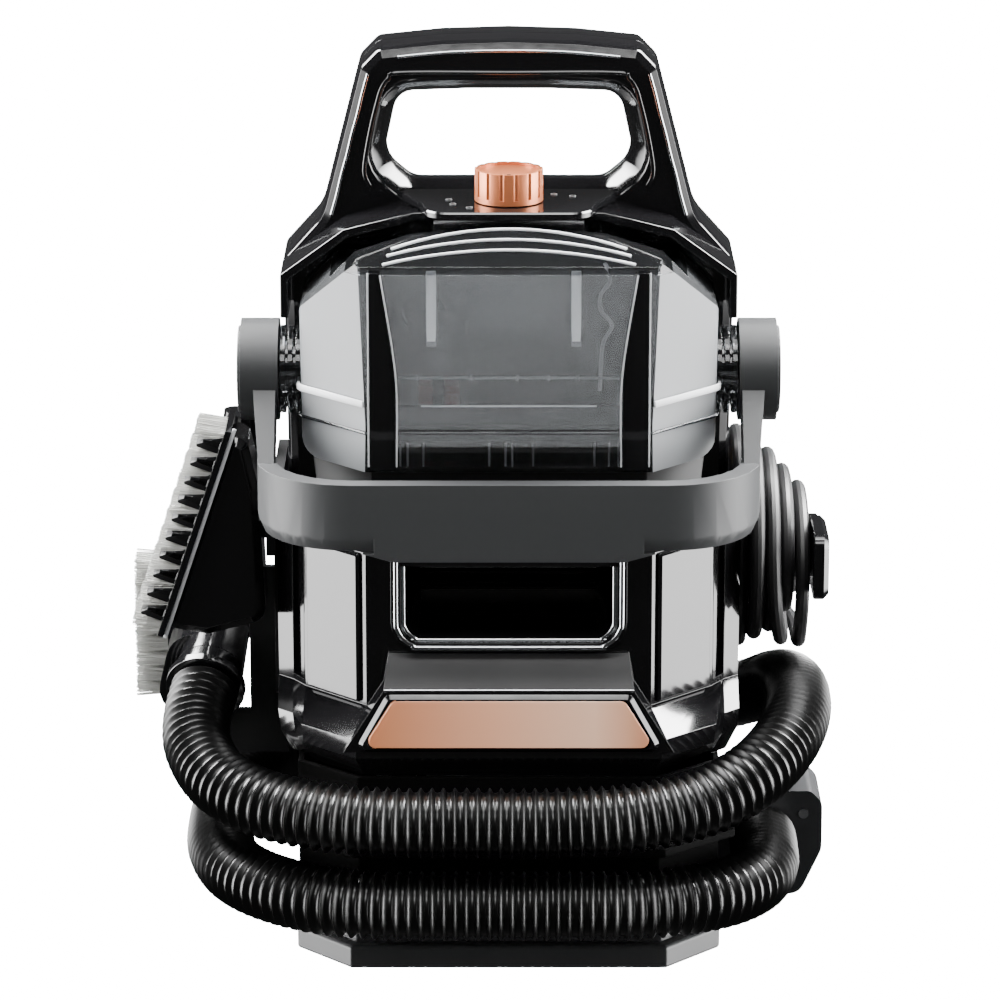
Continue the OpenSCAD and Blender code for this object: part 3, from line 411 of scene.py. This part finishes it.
# rubber and pvc are dull and take in most of the light
soft_rubber = finish("soft_rubber", "#0d0d0d", 0.62, 1.0, 0.08)
hose_plastic = finish("ribbed_hose_plastic", "#040404", 0.3, 1.4, 0.02)
cord_sheath = finish("cord_sheath_pvc", "#121213", 0.45, 0.8, 0.08)
red_abs = finish("red_abs", "#8c1a18", 0.3, 0.8, 0.05)
circuit_green = finish("solder_mask", "#14532e", 0.3, 1.0, 0.05)
milky_tube = finish("milky_pvc_tube", "#b9bcbe", 0.35, 1.0, 0.05)
# nylon strands scatter light, so a tuft looks pale grey and not white
nylon = finish("nylon_bristle", "#b6b6b2", 0.5, 1.5, 0.1, 0.05, 0.25)
# pad-printed ink, and pale colours that paint highlights on ridges, bands, rims and edges
ink_white_and_painted_highlight = finish("white_marking_ink_and_painted_highlight", "#c9cacc", 0.5, 1.0, 0.05)
icon_grey_and_painted_highlight = finish("icon_grey_and_painted_edge_highlight", "#8e9092", 0.4, 1.0, 0.02)
print("plastic finishes:", len(bpy.data.materials))

# %% [markdown]
# Shafts are turned steel and the fan and heater are cast alloy. The dial and the plate
# are rose gold paint over plastic, so they are only partly metallic: they keep their
# own colour under white light, where a full metal would turn grey.

# %% Metal finishes
steel = finish("machined_steel", "#a4a6a8", 0.3, 1.0, 0.05, values={"Metallic": 1.0})
alloy = finish("die_cast_alloy", "#b5b6b8", 0.45, 1.4, 0.1, values={"Metallic": 1.0})
rose_gold = finish("satin_rose_gold", "#c9774f", 0.28, 1.4, 0.01, 0.03, 0.05,
                   values={"Metallic": 0.55})
plate_gold_painted_sheen = finish("brushed_rose_gold_painted_sheen", "#d28c66", 0.34, 2.0, 0.0, 0.03, 0.04,
                     values={"Metallic": 0.15})
# chrome only for painted highlights, as rods on the edges of black trim
painted_highlight_chrome = finish("painted_highlight_chrome", "#b4b6b8", 0.14, 2.0, 0.01, 0.02, 0.05,
                     values={"Metallic": 1.0})
brass = finish("plug_brass", "#c8a24a", 0.25, 1.0, 0.03, values={"Metallic": 1.0})
print("with the metals:", len(bpy.data.materials))

# %% [markdown]
# The tanks are smoke-tinted polycarbonate, which bends light as glass does and stays
# clear where the mould was polished. Their slanted front faces are rough, let through less
# light and carry a grey base colour: painted reflection of the side boxes. A colour ramp
# along one axis of the piece paints a paler sheen towards the window's top and a
# painted highlight band across the plate, without any picture.

# %% Clear plastic
smoke = finish("smoke_clear_pc_painted_sheen", "#7d7f81", 0.05, 20, 0.0, 0.015, 0.02,
               values={"Transmission Weight": 0.9, "IOR": 1.45})
dark_smoke = finish("dark_smoke_pc", "#4b4d4f", 0.05, 20, 0.0, 0.015, 0.02,
                    values={"Transmission Weight": 0.95, "IOR": 1.45})
# painted reflection: grey base colour on the slanted front faces stands for the side boxes
frosted_painted_reflection = finish("frosted_smoke_pc_painted_reflection", "#6f7173", 0.34, 14, 0.0, 0.03, 0.03,
                 values={"Transmission Weight": 0.15, "IOR": 1.45,
                         "Specular IOR Level": 0.3})


def along_axis(material, axis, start_mm, end_mm, socket, stops):
    """Drives a socket of the material by the place along one axis of the object."""
    tree = material.node_tree
    place = node(tree, "ShaderNodeTexCoord")
    parts = node(tree, "ShaderNodeSeparateXYZ", links={"Vector": (place, "Object")})
    spot = node(tree, "ShaderNodeMapRange",
                values={"From Min": start_mm * MM, "From Max": end_mm * MM},
                links={"Value": (parts, axis)})
    ramp = node(tree, "ShaderNodeValToRGB", links={"Fac": (spot, "Result")})
    while len(ramp.color_ramp.elements) < len(stops):
        ramp.color_ramp.elements.new(0.5)
    for element, (at, tone) in zip(ramp.color_ramp.elements, stops):
        element.position = at
        element.color = colour(tone) if isinstance(tone, str) else (tone, tone, tone, 1)
    tree.links.new(ramp.outputs["Color"], tree.nodes["Principled BSDF"].inputs[socket])


# painted sheen: the window turns paler and less clear towards the top, standing in
# for a reflected soft box, and stays clear lower down
along_axis(smoke, "Z", 262, 345, "Transmission Weight",
           ((0, 0.99), (0.35, 0.95), (1, 0.78)))
# painted highlight: the plate's colour is paler in a band right of centre, a reflected soft box
along_axis(plate_gold_painted_sheen, "X", -74, 74, "Base Color",
           ((0, "#c87a50"), (0.45, "#ebae8b"), (0.78, "#f6c9aa"), (1, "#c97c52")))
print("clear and graded finishes ready")

# %% [markdown]
# Most solids already have the right form and only lack what a mould leaves: small
# rounded edges. A copy of the mesh is merged into clean faces and its edges are
# bevelled, which gives every edge the thin line of light that real plastic has.

# %% Rounded copies of solids
BODY_OF = {n: b for b, ns in frame["record"]["behaviour"]["bodies"].items() for n in ns}


def rounded_copy(solid, finish_with, edge_mm):
    """A copy of a solid with rounded edges that stands for it."""
    piece = bpy.data.objects.new(solid + "_shell", frame["nodes"][solid].data.copy())
    scene.collection.objects.link(piece)
    take(piece)
    bpy.ops.object.mode_set(mode="EDIT")
    bpy.ops.mesh.select_all(action="SELECT")
    bpy.ops.mesh.remove_doubles(threshold=0.00002)
    bpy.ops.mesh.dissolve_limited(angle_limit=math.radians(1.5))
    bpy.ops.object.mode_set(mode="OBJECT")
    modify(piece, "BEVEL", width=edge_mm * MM, segments=3, limit_method="ANGLE",
           angle_limit=math.radians(28), harden_normals=False, miter_outer="MITER_ARC")
    shade(piece, 42)
    modify(piece, "WEIGHTED_NORMAL", mode="FACE_AREA", weight=90, keep_sharp=True)
    dress(piece, finish_with, BODY_OF[solid])
    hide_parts(solid)
    return piece


def second_finish(piece, finish_with, chosen):
    """Gives another finish to the faces whose centre and normal pass a test."""
    piece.data.materials.append(finish_with)
    last = len(piece.data.materials) - 1
    for face in piece.data.polygons:
        if chosen(face.center / MM, face.normal):
            face.material_index = last


def dress(piece, finish_with, body):
    """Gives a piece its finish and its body."""
    piece.data.materials.clear()
    piece.data.materials.append(finish_with)
    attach(piece, body)
    return piece


ROUNDED = [
    ("base_pan", charcoal, 0.9), ("lower_housing", deep_black, 0.6),
    ("front_cover", gloss_black, 0.7), ("front_panels", gloss_black, 0.7),
    ("recess_trim", gloss_black, 1.0), ("badge_frame", gloss_black, 0.4),
    ("badge_plate", plate_gold_painted_sheen, 0.4), ("rear_cover", gloss_black, 0.9),
    ("vent_grille", satin_black, 0.4), ("handle_front_shell", gloss_black, 1.0),
    ("handle_rear_shell", gloss_black, 1.0), ("top_deck", gloss_black, 0.8),
    ("control_panel", gloss_black, 0.5), ("control_dial", rose_gold, 0.25),
    ("tank_shell", smoke, 1.2), ("tank_lid", dark_smoke, 0.9), ("tank_base", satin_black, 0.8),
    ("pivot_rings", dark_smoke, 0.4), ("carry_bail", bail_grey, 2.6), ("hub_caps", bail_grey, 0.6),
    ("clean_tank", smoke, 1.4), ("filler_cap", satin_black, 0.4),
    ("hose_port", port_grey, 1.2), ("hose_cuff", gloss_black, 0.6),
    ("spray_handle", gloss_black, 1.0), ("trigger", port_grey, 0.5),
    ("brush_tool", gloss_black, 0.8), ("small_tool", gloss_black, 0.8),
    ("tool_holder", satin_black, 0.8), ("cord_drum", satin_black, 0.8),
    ("cord_hook", gloss_black, 0.8), ("plug", satin_black, 0.8),
    ("strain_relief", soft_rubber, 0.8)]
shells = {solid: rounded_copy(solid, with_finish, edge)
          for solid, with_finish, edge in ROUNDED}
# painted reflection: only the slanted front faces of the tank take the grey finish
second_finish(shells["tank_shell"], frosted_painted_reflection,
              lambda at, out: abs(out.x) > 0.3 and out.y < -0.2 and abs(at.x) > 66)
second_finish(shells["front_cover"], satin_black,
              lambda at, out: out.z > 0.45 and abs(at.x) < 62 and 141 < at.z < 157)
second_finish(shells["plug"], brass, lambda at, out: at.y > 90.2)
print("rounded copies:", len(shells))

# %% [markdown]
# The cuff and the plug now have their finer meshes, and both cords are in place.

print("declared:", hose.name, "and", mains_cord.name)

# %% [markdown]
# The inner works need no finer mesh, since they show only through the tank's wall or
# when a part is lifted off. They keep their solids and get real finishes.

# %% Finishes on the solids that stay
STAYING = {
    "rubber_feet": soft_rubber, "indicator_lenses": ink_white_and_painted_highlight,
    "rotary_switch": satin_black, "circuit_board": circuit_green, "dial_shaft": steel,
    "duct_seal": soft_rubber, "inlet_stack": smoke, "float_cage": smoke,
    "float": red_abs, "cap_seal": soft_rubber, "tank_valve": satin_black,
    "valve_seat": satin_black, "vacuum_motor": steel, "motor_shaft": steel,
    "motor_bearings": steel, "fan_impeller": alloy, "fan_housing": satin_black,
    "water_pump": satin_black, "steam_heater": alloy, "water_tubes": milky_tube,
    "air_ducts": satin_black,
    "housing_screws": steel}
for solid, with_finish in STAYING.items():
    mesh = frame["nodes"][solid].data
    mesh.materials.clear()
    mesh.materials.append(with_finish)
for solid in ("brush_bristles", "small_bristles", "hose", "cord_winding", "cord_ends"):
    frame["nodes"][solid].data.materials.append(cord_sheath)
for piece, with_finish in ((hose, hose_plastic), (mains_cord, cord_sheath)):
    piece.data.materials.append(with_finish)
shade(hose, 50)
floor_finish = finish("pale_floor", "#e6e6e6", 0.6, 30, 0.0, values={
    "Emission Color": (1, 1, 1, 1), "Emission Strength": 18.0})
floor.data.materials.append(floor_finish)
floor.visible_diffuse = False
print("finished solids:", len(STAYING))

# %% [markdown]
# The smaller trim is made from bars with rounded edges. A bar starts as a cube of
# its real size; a bevel modifier rounds it, and bars that belong together are
# joined into one piece.

# %% Bars
def bar(low, high, edge_mm=0.4):
    """A box between two corners in millimetres, with rounded edges."""
    low, high = Vector(low) * MM, Vector(high) * MM
    bpy.ops.mesh.primitive_cube_add(size=1, location=(low + high) / 2)
    piece = bpy.context.object
    piece.scale = high - low
    settle(piece)
    return modify(piece, "BEVEL", width=edge_mm * MM, segments=2, limit_method="NONE")


def strip(points, width_mm, depth_mm, edge_mm=0.4):
    """A flat strip that stands on edge and follows points seen from above."""
    profile = []
    for i, p in enumerate(points):
        a, b = points[max(i - 1, 0)], points[min(i + 1, len(points) - 1)]
        along = (Vector(b) - Vector(a)).normalized()
        out = Vector((along.y, -along.x, 0)) * depth_mm
        up = Vector((0, 0, width_mm / 2))
        profile.append([(Vector(p) + o) * MM for o in (-up, out - up, out + up, up)])
    corners = [p for ring in profile for p in ring]
    faces = [(4 * i + k, 4 * i + 4 + k, 4 * i + 4 + (k + 1) % 4, 4 * i + (k + 1) % 4)
             for i in range(len(points) - 1) for k in range(4)]
    last = 4 * len(points) - 4
    faces += [(0, 1, 2, 3), (last + 3, last + 2, last + 1, last)]
    piece = mesh_piece("strip", corners, faces)
    take(piece)
    bpy.ops.object.mode_set(mode="EDIT")
    bpy.ops.mesh.select_all(action="SELECT")
    bpy.ops.mesh.normals_make_consistent(inside=False)
    bpy.ops.object.mode_set(mode="OBJECT")
    return modify(piece, "BEVEL", width=edge_mm * MM, segments=2, limit_method="ANGLE",
                  angle_limit=math.radians(50))


def plate(outline, y_front, y_back, edge_mm=0.4):
    """An upright plate: an outline of x and z in mm between two places along y."""
    count = len(outline)
    points = [Vector((x, y, z)) * MM for y in (y_front, y_back) for x, z in outline]
    faces = [tuple(range(count)), tuple(reversed(range(count, 2 * count)))]
    faces += [(k, count + k, count + (k + 1) % count, (k + 1) % count)
              for k in range(count)]
    piece = mesh_piece("plate", points, faces)
    take(piece)
    bpy.ops.object.mode_set(mode="EDIT")
    bpy.ops.mesh.select_all(action="SELECT")
    bpy.ops.mesh.normals_make_consistent(inside=False)
    bpy.ops.object.mode_set(mode="OBJECT")
    return modify(piece, "BEVEL", width=edge_mm * MM, segments=2, limit_method="ANGLE",
                  angle_limit=math.radians(30))


print("bars, strips and plates are ready")


# %% [markdown]
# The clear tank carries a flat white band all round, a painted highlight across its
# faces, a thinner bead below it, and two dark posts that frame its front window, with
# painted highlight lines on the posts' edges. They lie just outside the tank's wall.

# %% Tank bands and posts
box_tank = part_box("tank_shell")
TANK_FRONT = (((-101.2, -44), (-101.2, -58.5), (-99.9, -62), (-68.9, -94.1)),
              ((68.9, -94.1), (99.9, -62), (101.2, -58.5), (101.2, -44)))


def around_tank(z):
    return [(x, y, z) for side in TANK_FRONT for x, y in side]


# painted highlight: a white band across the tank's front faces, where the top light falls
highlight_band = [strip([(x, y, 278.6) for x, y in side], 3.4, 1.5, 0.6) for side in TANK_FRONT]
dress(shade(merge("tank_painted_highlight_bands", highlight_band)), ink_white_and_painted_highlight, "dirty_tank")
bead = strip(around_tank(264.5), 1.6, 1.0, 0.4)
bead.name = "tank_seam_bead"
dress(shade(bead), smoke, "dirty_tank")
posts = []
for side in (-1, 1):
    posts.append(plate([(side * x, z) for x, z in (
        (66.6, 246), (66.6, 343), (61.6, 343), (54.2, 292), (54.2, 246))],
        -95.4, -93.4, 0.6))
dress(shade(merge("window_posts", posts)), gloss_black, "dirty_tank")
# painted highlights: thin pale rods on the posts' edges stand for light on their bevels
edges = []
for side in (-1, 1):
    line = [(side * x, -95.6, z) for x, z in ((61.2, 342), (53.9, 292), (53.7, 248))]
    line = smooth_route(in_metres(line), 0.004)
    edges.append(tube("edge", line, [0.0004] * len(line), 8))
    line = smooth_route(in_metres([(side * 67, -95.2, 343), (side * 67, -95.4, 248)]), 0.01)
    edges.append(tube("edge", line, [0.0004] * len(line), 8))
dress(shade(merge("window_edge_painted_highlights", edges), 60), icon_grey_and_painted_highlight, "dirty_tank")
print("tank front", [round(v, 4) for v in box_tank[0]])

# %% [markdown]
# Inside the window a grey tray crosses the tank, with an inner ledge above it and a row
# of thin upright ribs below, where the water runs to the sump. The ledge, the ribs and
# the bars beside them are white: painted highlights on clear plastic.

# %% Inside the tank
tray = [bar((-56, -91.2, 267.6), (56, -86, 276.6), 0.8),
        bar((-56, -90.6, 259.4), (56, -86, 266.6), 0.8)]
dress(shade(merge("inner_tray", tray)), bail_grey, "dirty_tank")
# painted highlights: these ledges, ribs and bars are white where clear plastic only catches light
ledge = [bar((-42, -92, 276.9), (42, -91.3, 277.7), 0.2),
         bar((-53, -90.8, 290.2), (53, -88.8, 291.2), 0.3)]
ledge += [bar((x - 0.6, -91, 289.4), (x + 0.6, -88.6, 292), 0.3)
          for x in (-44, -18, 4, 19, 33)]
ledge += [bar((x - 0.5, -91, 247), (x + 0.5, -89.4, 258.6), 0.3)
          for x in (-52, -48.5, -41, -9.4, -1.6, 1.6, 11.6, 41, 48, 52.5)]
ledge += [bar((x - 2.4, -90.4, 306), (x + 2.4, -89.2, 343), 0.5) for x in (-37, 32)]
dress(shade(merge("inner_ledges_painted_highlight", ledge)), ink_white_and_painted_highlight, "dirty_tank")
wire_route = smooth_route(in_metres([
    (45.5, -88, 346), (48, -88, 338), (43.6, -88, 331), (44, -88, 323),
    (49, -88, 316), (44.6, -88, 306), (43.4, -88, 284)]), 0.001)
wire = tube("float_wire", wire_route, [0.001] * len(wire_route), 8)
dress(shade(wire), ink_white_and_painted_highlight, "dirty_tank")
print("float wire", round(route_length(wire_route), 3), "m")

# %% [markdown]
# The lid's sloping front has three arched ridges, one above the other. Each one
# follows the lid's arch, a little lower than the one before, and is white: a painted
# highlight along the lid's bevels.

# %% Lid ridges
ridges = []
RIDGES = ((358.0, 7.8, 56), (354.4, 6.0, 58), (350.8, 5.0, 60))
for top, drop, reach in RIDGES:
    line = []
    for k in range(33):
        x = reach * (k / 16 - 1)
        z = top - drop * (x / 60) ** 2
        line.append((x, -66.2 - 25 * (358.6 - z) / 13.6, z))
    ridge = smooth_route(in_metres(line), 0.003)
    ridges.append(tube("ridge", ridge, [0.0008] * len(ridge), 8))
# painted highlights: the ridges are white, standing in for light on the lid's bevels
dress(shade(merge("lid_ridges_painted_highlight", ridges), 60), ink_white_and_painted_highlight, "dirty_tank")
print("lid ridges:", len(RIDGES))

# %% [markdown]
# A brush is hundreds of nylon strands in round tufts. One strand is modelled as a
# thin tapered rod; each tuft spreads like a fan, so its strands lean apart.

# %% Bristles
random.seed(7)
BRUSH_AT, BRUSH_LEAN, TUFTS, BRUSH_LEN = Vector((-153.5, -38, 204)), 18.6, 11, 110


def strands(name, roots_and_tips, thick_mm):
    """Many thin tapered rods as one mesh, each from its root to its tip."""
    points, faces = [], []
    for root, tip in roots_and_tips:
        along = (tip - root).normalized()
        side = along.orthogonal().normalized()
        other = along.cross(side)
        first = len(points)
        for place, size in ((root, 1), (tip, 0.8)):
            for k in range(4):
                angle = math.tau * k / 4
                points.append((place + thick_mm / 2 * size * (
                    side * math.cos(angle) + other * math.sin(angle))) * MM)
        faces += [(first + k, first + (k + 1) % 4, first + 4 + (k + 1) % 4, first + 4 + k)
                  for k in range(4)]
        faces += [(first + 3, first + 2, first + 1, first),
                  (first + 4, first + 5, first + 6, first + 7)]
    return mesh_piece(name, points, faces)


lean = Matrix.Rotation(math.radians(BRUSH_LEAN), 3, "Y")
pitch = BRUSH_LEN / TUFTS
SAG = 3.4
fan = []
for i in range(TUFTS):
    middle = (i + 0.5) * pitch - BRUSH_LEN / 2
    for k in range(230):
        y = 16.4 - 32.8 * random.random() ** 1.6
        spread = random.uniform(-1, 1)
        root = Vector((-1.4, y, middle + spread * 1.2))
        tip = Vector((-15.6 + 0.7 * abs(spread) + random.uniform(-0.2, 0.4), y,
                      middle - SAG + spread * 2.6 + random.uniform(-0.25, 0.25)))
        fan.append((BRUSH_AT + lean @ root, BRUSH_AT + lean @ tip))
tufts = strands("brush_tufts", fan, 0.42)
dress(tufts, nylon, "brush_tool")
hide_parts("brush_bristles")
small_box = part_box("small_bristles")
low, high = Vector(small_box[0]) / MM, Vector(small_box[1]) / MM
rows = []
for i in range(9):
    middle = low.z + 4 + (high.z - low.z - 8) * i / 8
    for k in range(170):
        spread = random.uniform(-1, 1)
        y = random.uniform(low.y + 1, high.y - 1)
        rows.append((Vector((high.x, y, middle + spread * 2.4)),
                     Vector((low.x + random.uniform(0, 1.2), y,
                             min(max(middle + spread * 4.3 + random.uniform(-0.4, 0.4),
                                     low.z + 0.3), high.z - 0.3)))))
small_tufts = strands("small_brush_tufts", rows, 0.5)
dress(small_tufts, nylon, "small_tool")
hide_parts("small_bristles")
print("strands:", len(fan), "+", len(rows))

# %% [markdown]
# Stiff black fingers stand between the tufts and comb the carpet. One finger is a
# bevelled prism; ten copies of it stand along the head, each with its own mesh.

# %% Brush fingers and rim
fingers = []
for i in range(1, TUFTS):
    at = i * pitch - BRUSH_LEN / 2
    tip = at - 3.2
    finger = plate([(-1.4, at - 4.4), (-1.4, at + 4.4), (-12.2, tip + 0.9),
                    (-12.8, tip), (-12.2, tip - 0.9)], -16, 16, 0.4)
    for corner in finger.data.vertices:
        corner.co = BRUSH_AT * MM + lean @ corner.co
    fingers.append(finger)
dress(shade(merge("brush_fingers", fingers)), satin_black, "brush_tool")
print("brush fingers:", TUFTS - 1)
# painted highlight: a pale bar along the hood's edge stands for light on the plate's rim
rim = [bar((1.7, -19.6, -BRUSH_LEN / 2 - 1), (3.6, -18.2, BRUSH_LEN / 2 + 1), 0.4)]
for corner in rim[0].data.vertices:
    corner.co = BRUSH_AT * MM + lean @ corner.co
dress(shade(merge("hood_rim_painted_highlight", rim)), ink_white_and_painted_highlight, "brush_tool")

# %% [markdown]
# Chrome rods line the recess, and a thin one tops the badge's frame: painted highlights
# for the light on the black trim's rounded edges. A bead is a thin rod swept along the
# trim's outline.

# %% Painted highlight trim
def u_shape(half, low, top, radius, y):
    """A U-shaped line with round lower corners."""
    points = [(-half, y, top), (-half, y, low + radius)]
    for k in range(1, 6):
        angle = math.radians(180 + 15 * k)
        points.append((-half + radius + radius * math.cos(angle), y,
                       low + radius + radius * math.sin(angle)))
    points.append((-half + radius, y, low))
    return points + [(-x, b, c) for x, b, c in reversed(points)]


def bead_along(points, radius_mm):
    line = smooth_route(in_metres(points), 0.002)
    return tube("bead", line, [radius_mm * MM] * len(line), 10)


# painted highlights: chrome rods along the recess's U-trim and above the badge
beads = [bead_along(u_shape(54.4, 158.7, 203, 13.5, -100.2), 1.3),
         bead_along(u_shape(50.9, 162.2, 203, 10, -98.8), 1.2),
         bead_along([(-60, -114.3, 141.6), (0, -114.3, 141.6), (60, -114.3, 141.6)], 0.8)]
dress(shade(merge("painted_highlight_beads", beads), 60), painted_highlight_chrome, "root")
slats = [bar((-44, -41, z), (44, -38.6, z + 1.6), 0.5) for z in (170, 178, 186, 194)]
dress(shade(merge("recess_slats", slats)), satin_black, "root")
rings = []
for x, y in ((-29, -34), (-27, -44), (-19, -52), (22, -22), (31, -26)):
    bpy.ops.mesh.primitive_torus_add(location=Vector((x, y, 365.3)) * MM,
                                     major_radius=0.0015, minor_radius=0.00014,
                                     major_segments=20, minor_segments=6)
    rings.append(settle(bpy.context.object))
icons = shade(merge("panel_icons", rings), 60)
dress(icons, icon_grey_and_painted_highlight, BODY_OF["indicator_lenses"])
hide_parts("indicator_lenses")
print("beads and icons done")

# %% [markdown]
# A rounded ring runs round the grip's opening, where the two halves of the handle
# are pressed over its edge. A polished rod swept along that line has a rounded face
# for every light, so the line of light changes along it as on the real ring.

# %% Grip ring and dial mark
HANDLE_FACE = -8.3
RING_HALF = [(68, 366.6), (70.4, 372), (70, 380), (67, 396), (64, 408),
             (62, 414.5), (58.5, 419.5), (52, 422.4)]
ring_line = ([(-x, HANDLE_FACE, z) for x, z in RING_HALF] + [(0, HANDLE_FACE, 422.4)]
             + [(x, HANDLE_FACE, z) for x, z in reversed(RING_HALF)])
ring = bead_along(ring_line, 1.3)
ring.name = "grip_ring"
dress(shade(ring, 60), gloss_black, "root")


def front_edge(z):
    """The outer edge of the handle's flat front face at one height."""
    shell = shells["handle_front_shell"]
    for step in range(240):
        x = 130 - step * 0.4
        found, at, out, _ = shell.ray_cast(Vector((x, -200, z)) * MM, Vector((0, 1, 0)))
        if found and out.y < -0.9:
            return at / MM
    return None


def top_edge(x):
    """The upper edge of the handle's flat front face at one place across it."""
    shell = shells["handle_front_shell"]
    for step in range(120):
        z = 440 - step * 0.25
        found, at, out, _ = shell.ray_cast(Vector((x, -200, z)) * MM, Vector((0, 1, 0)))
        if found and out.y < -0.9:
            return at / MM
    return None


outline = [front_edge(z) for z in range(352, 423, 10)]
outline = [p for p in outline if p]
print("handle edge", [tuple(round(v, 1) for v in p) for p in outline])
# painted highlights: chrome rods on the handle's outer and top edges stand for light on its bevels
lines = []
for side in (-1, 1):
    points = [(side * p.x, p.y - 0.2, p.z) for p in outline]
    lines.append(bead_along(points, 0.9))
top_line = [top_edge(x) for x in range(-54, 55, 12)]
top_line = [p for p in top_line if p]
print("top edge", [tuple(round(v, 1) for v in p) for p in top_line])
lines.append(bead_along([(p.x, p.y - 0.2, p.z) for p in top_line], 0.9))
dress(shade(merge("handle_painted_highlight_lines", lines), 60), painted_highlight_chrome, "root")
dial_low, dial_high = (Vector(c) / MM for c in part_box("control_dial"))
dial_x = (dial_low.x + dial_high.x) / 2
mark = bar((dial_x - 0.9, dial_low.y + 1.0, dial_high.z - 0.3),
           (dial_x + 0.9, dial_low.y + 2.3, dial_high.z + 0.12), 0.1)
mark.name = "dial_mark"
dress(shade(mark), satin_black, BODY_OF["control_dial"])
print("grip ring", round(route_length(in_metres(ring_line)), 3), "m")
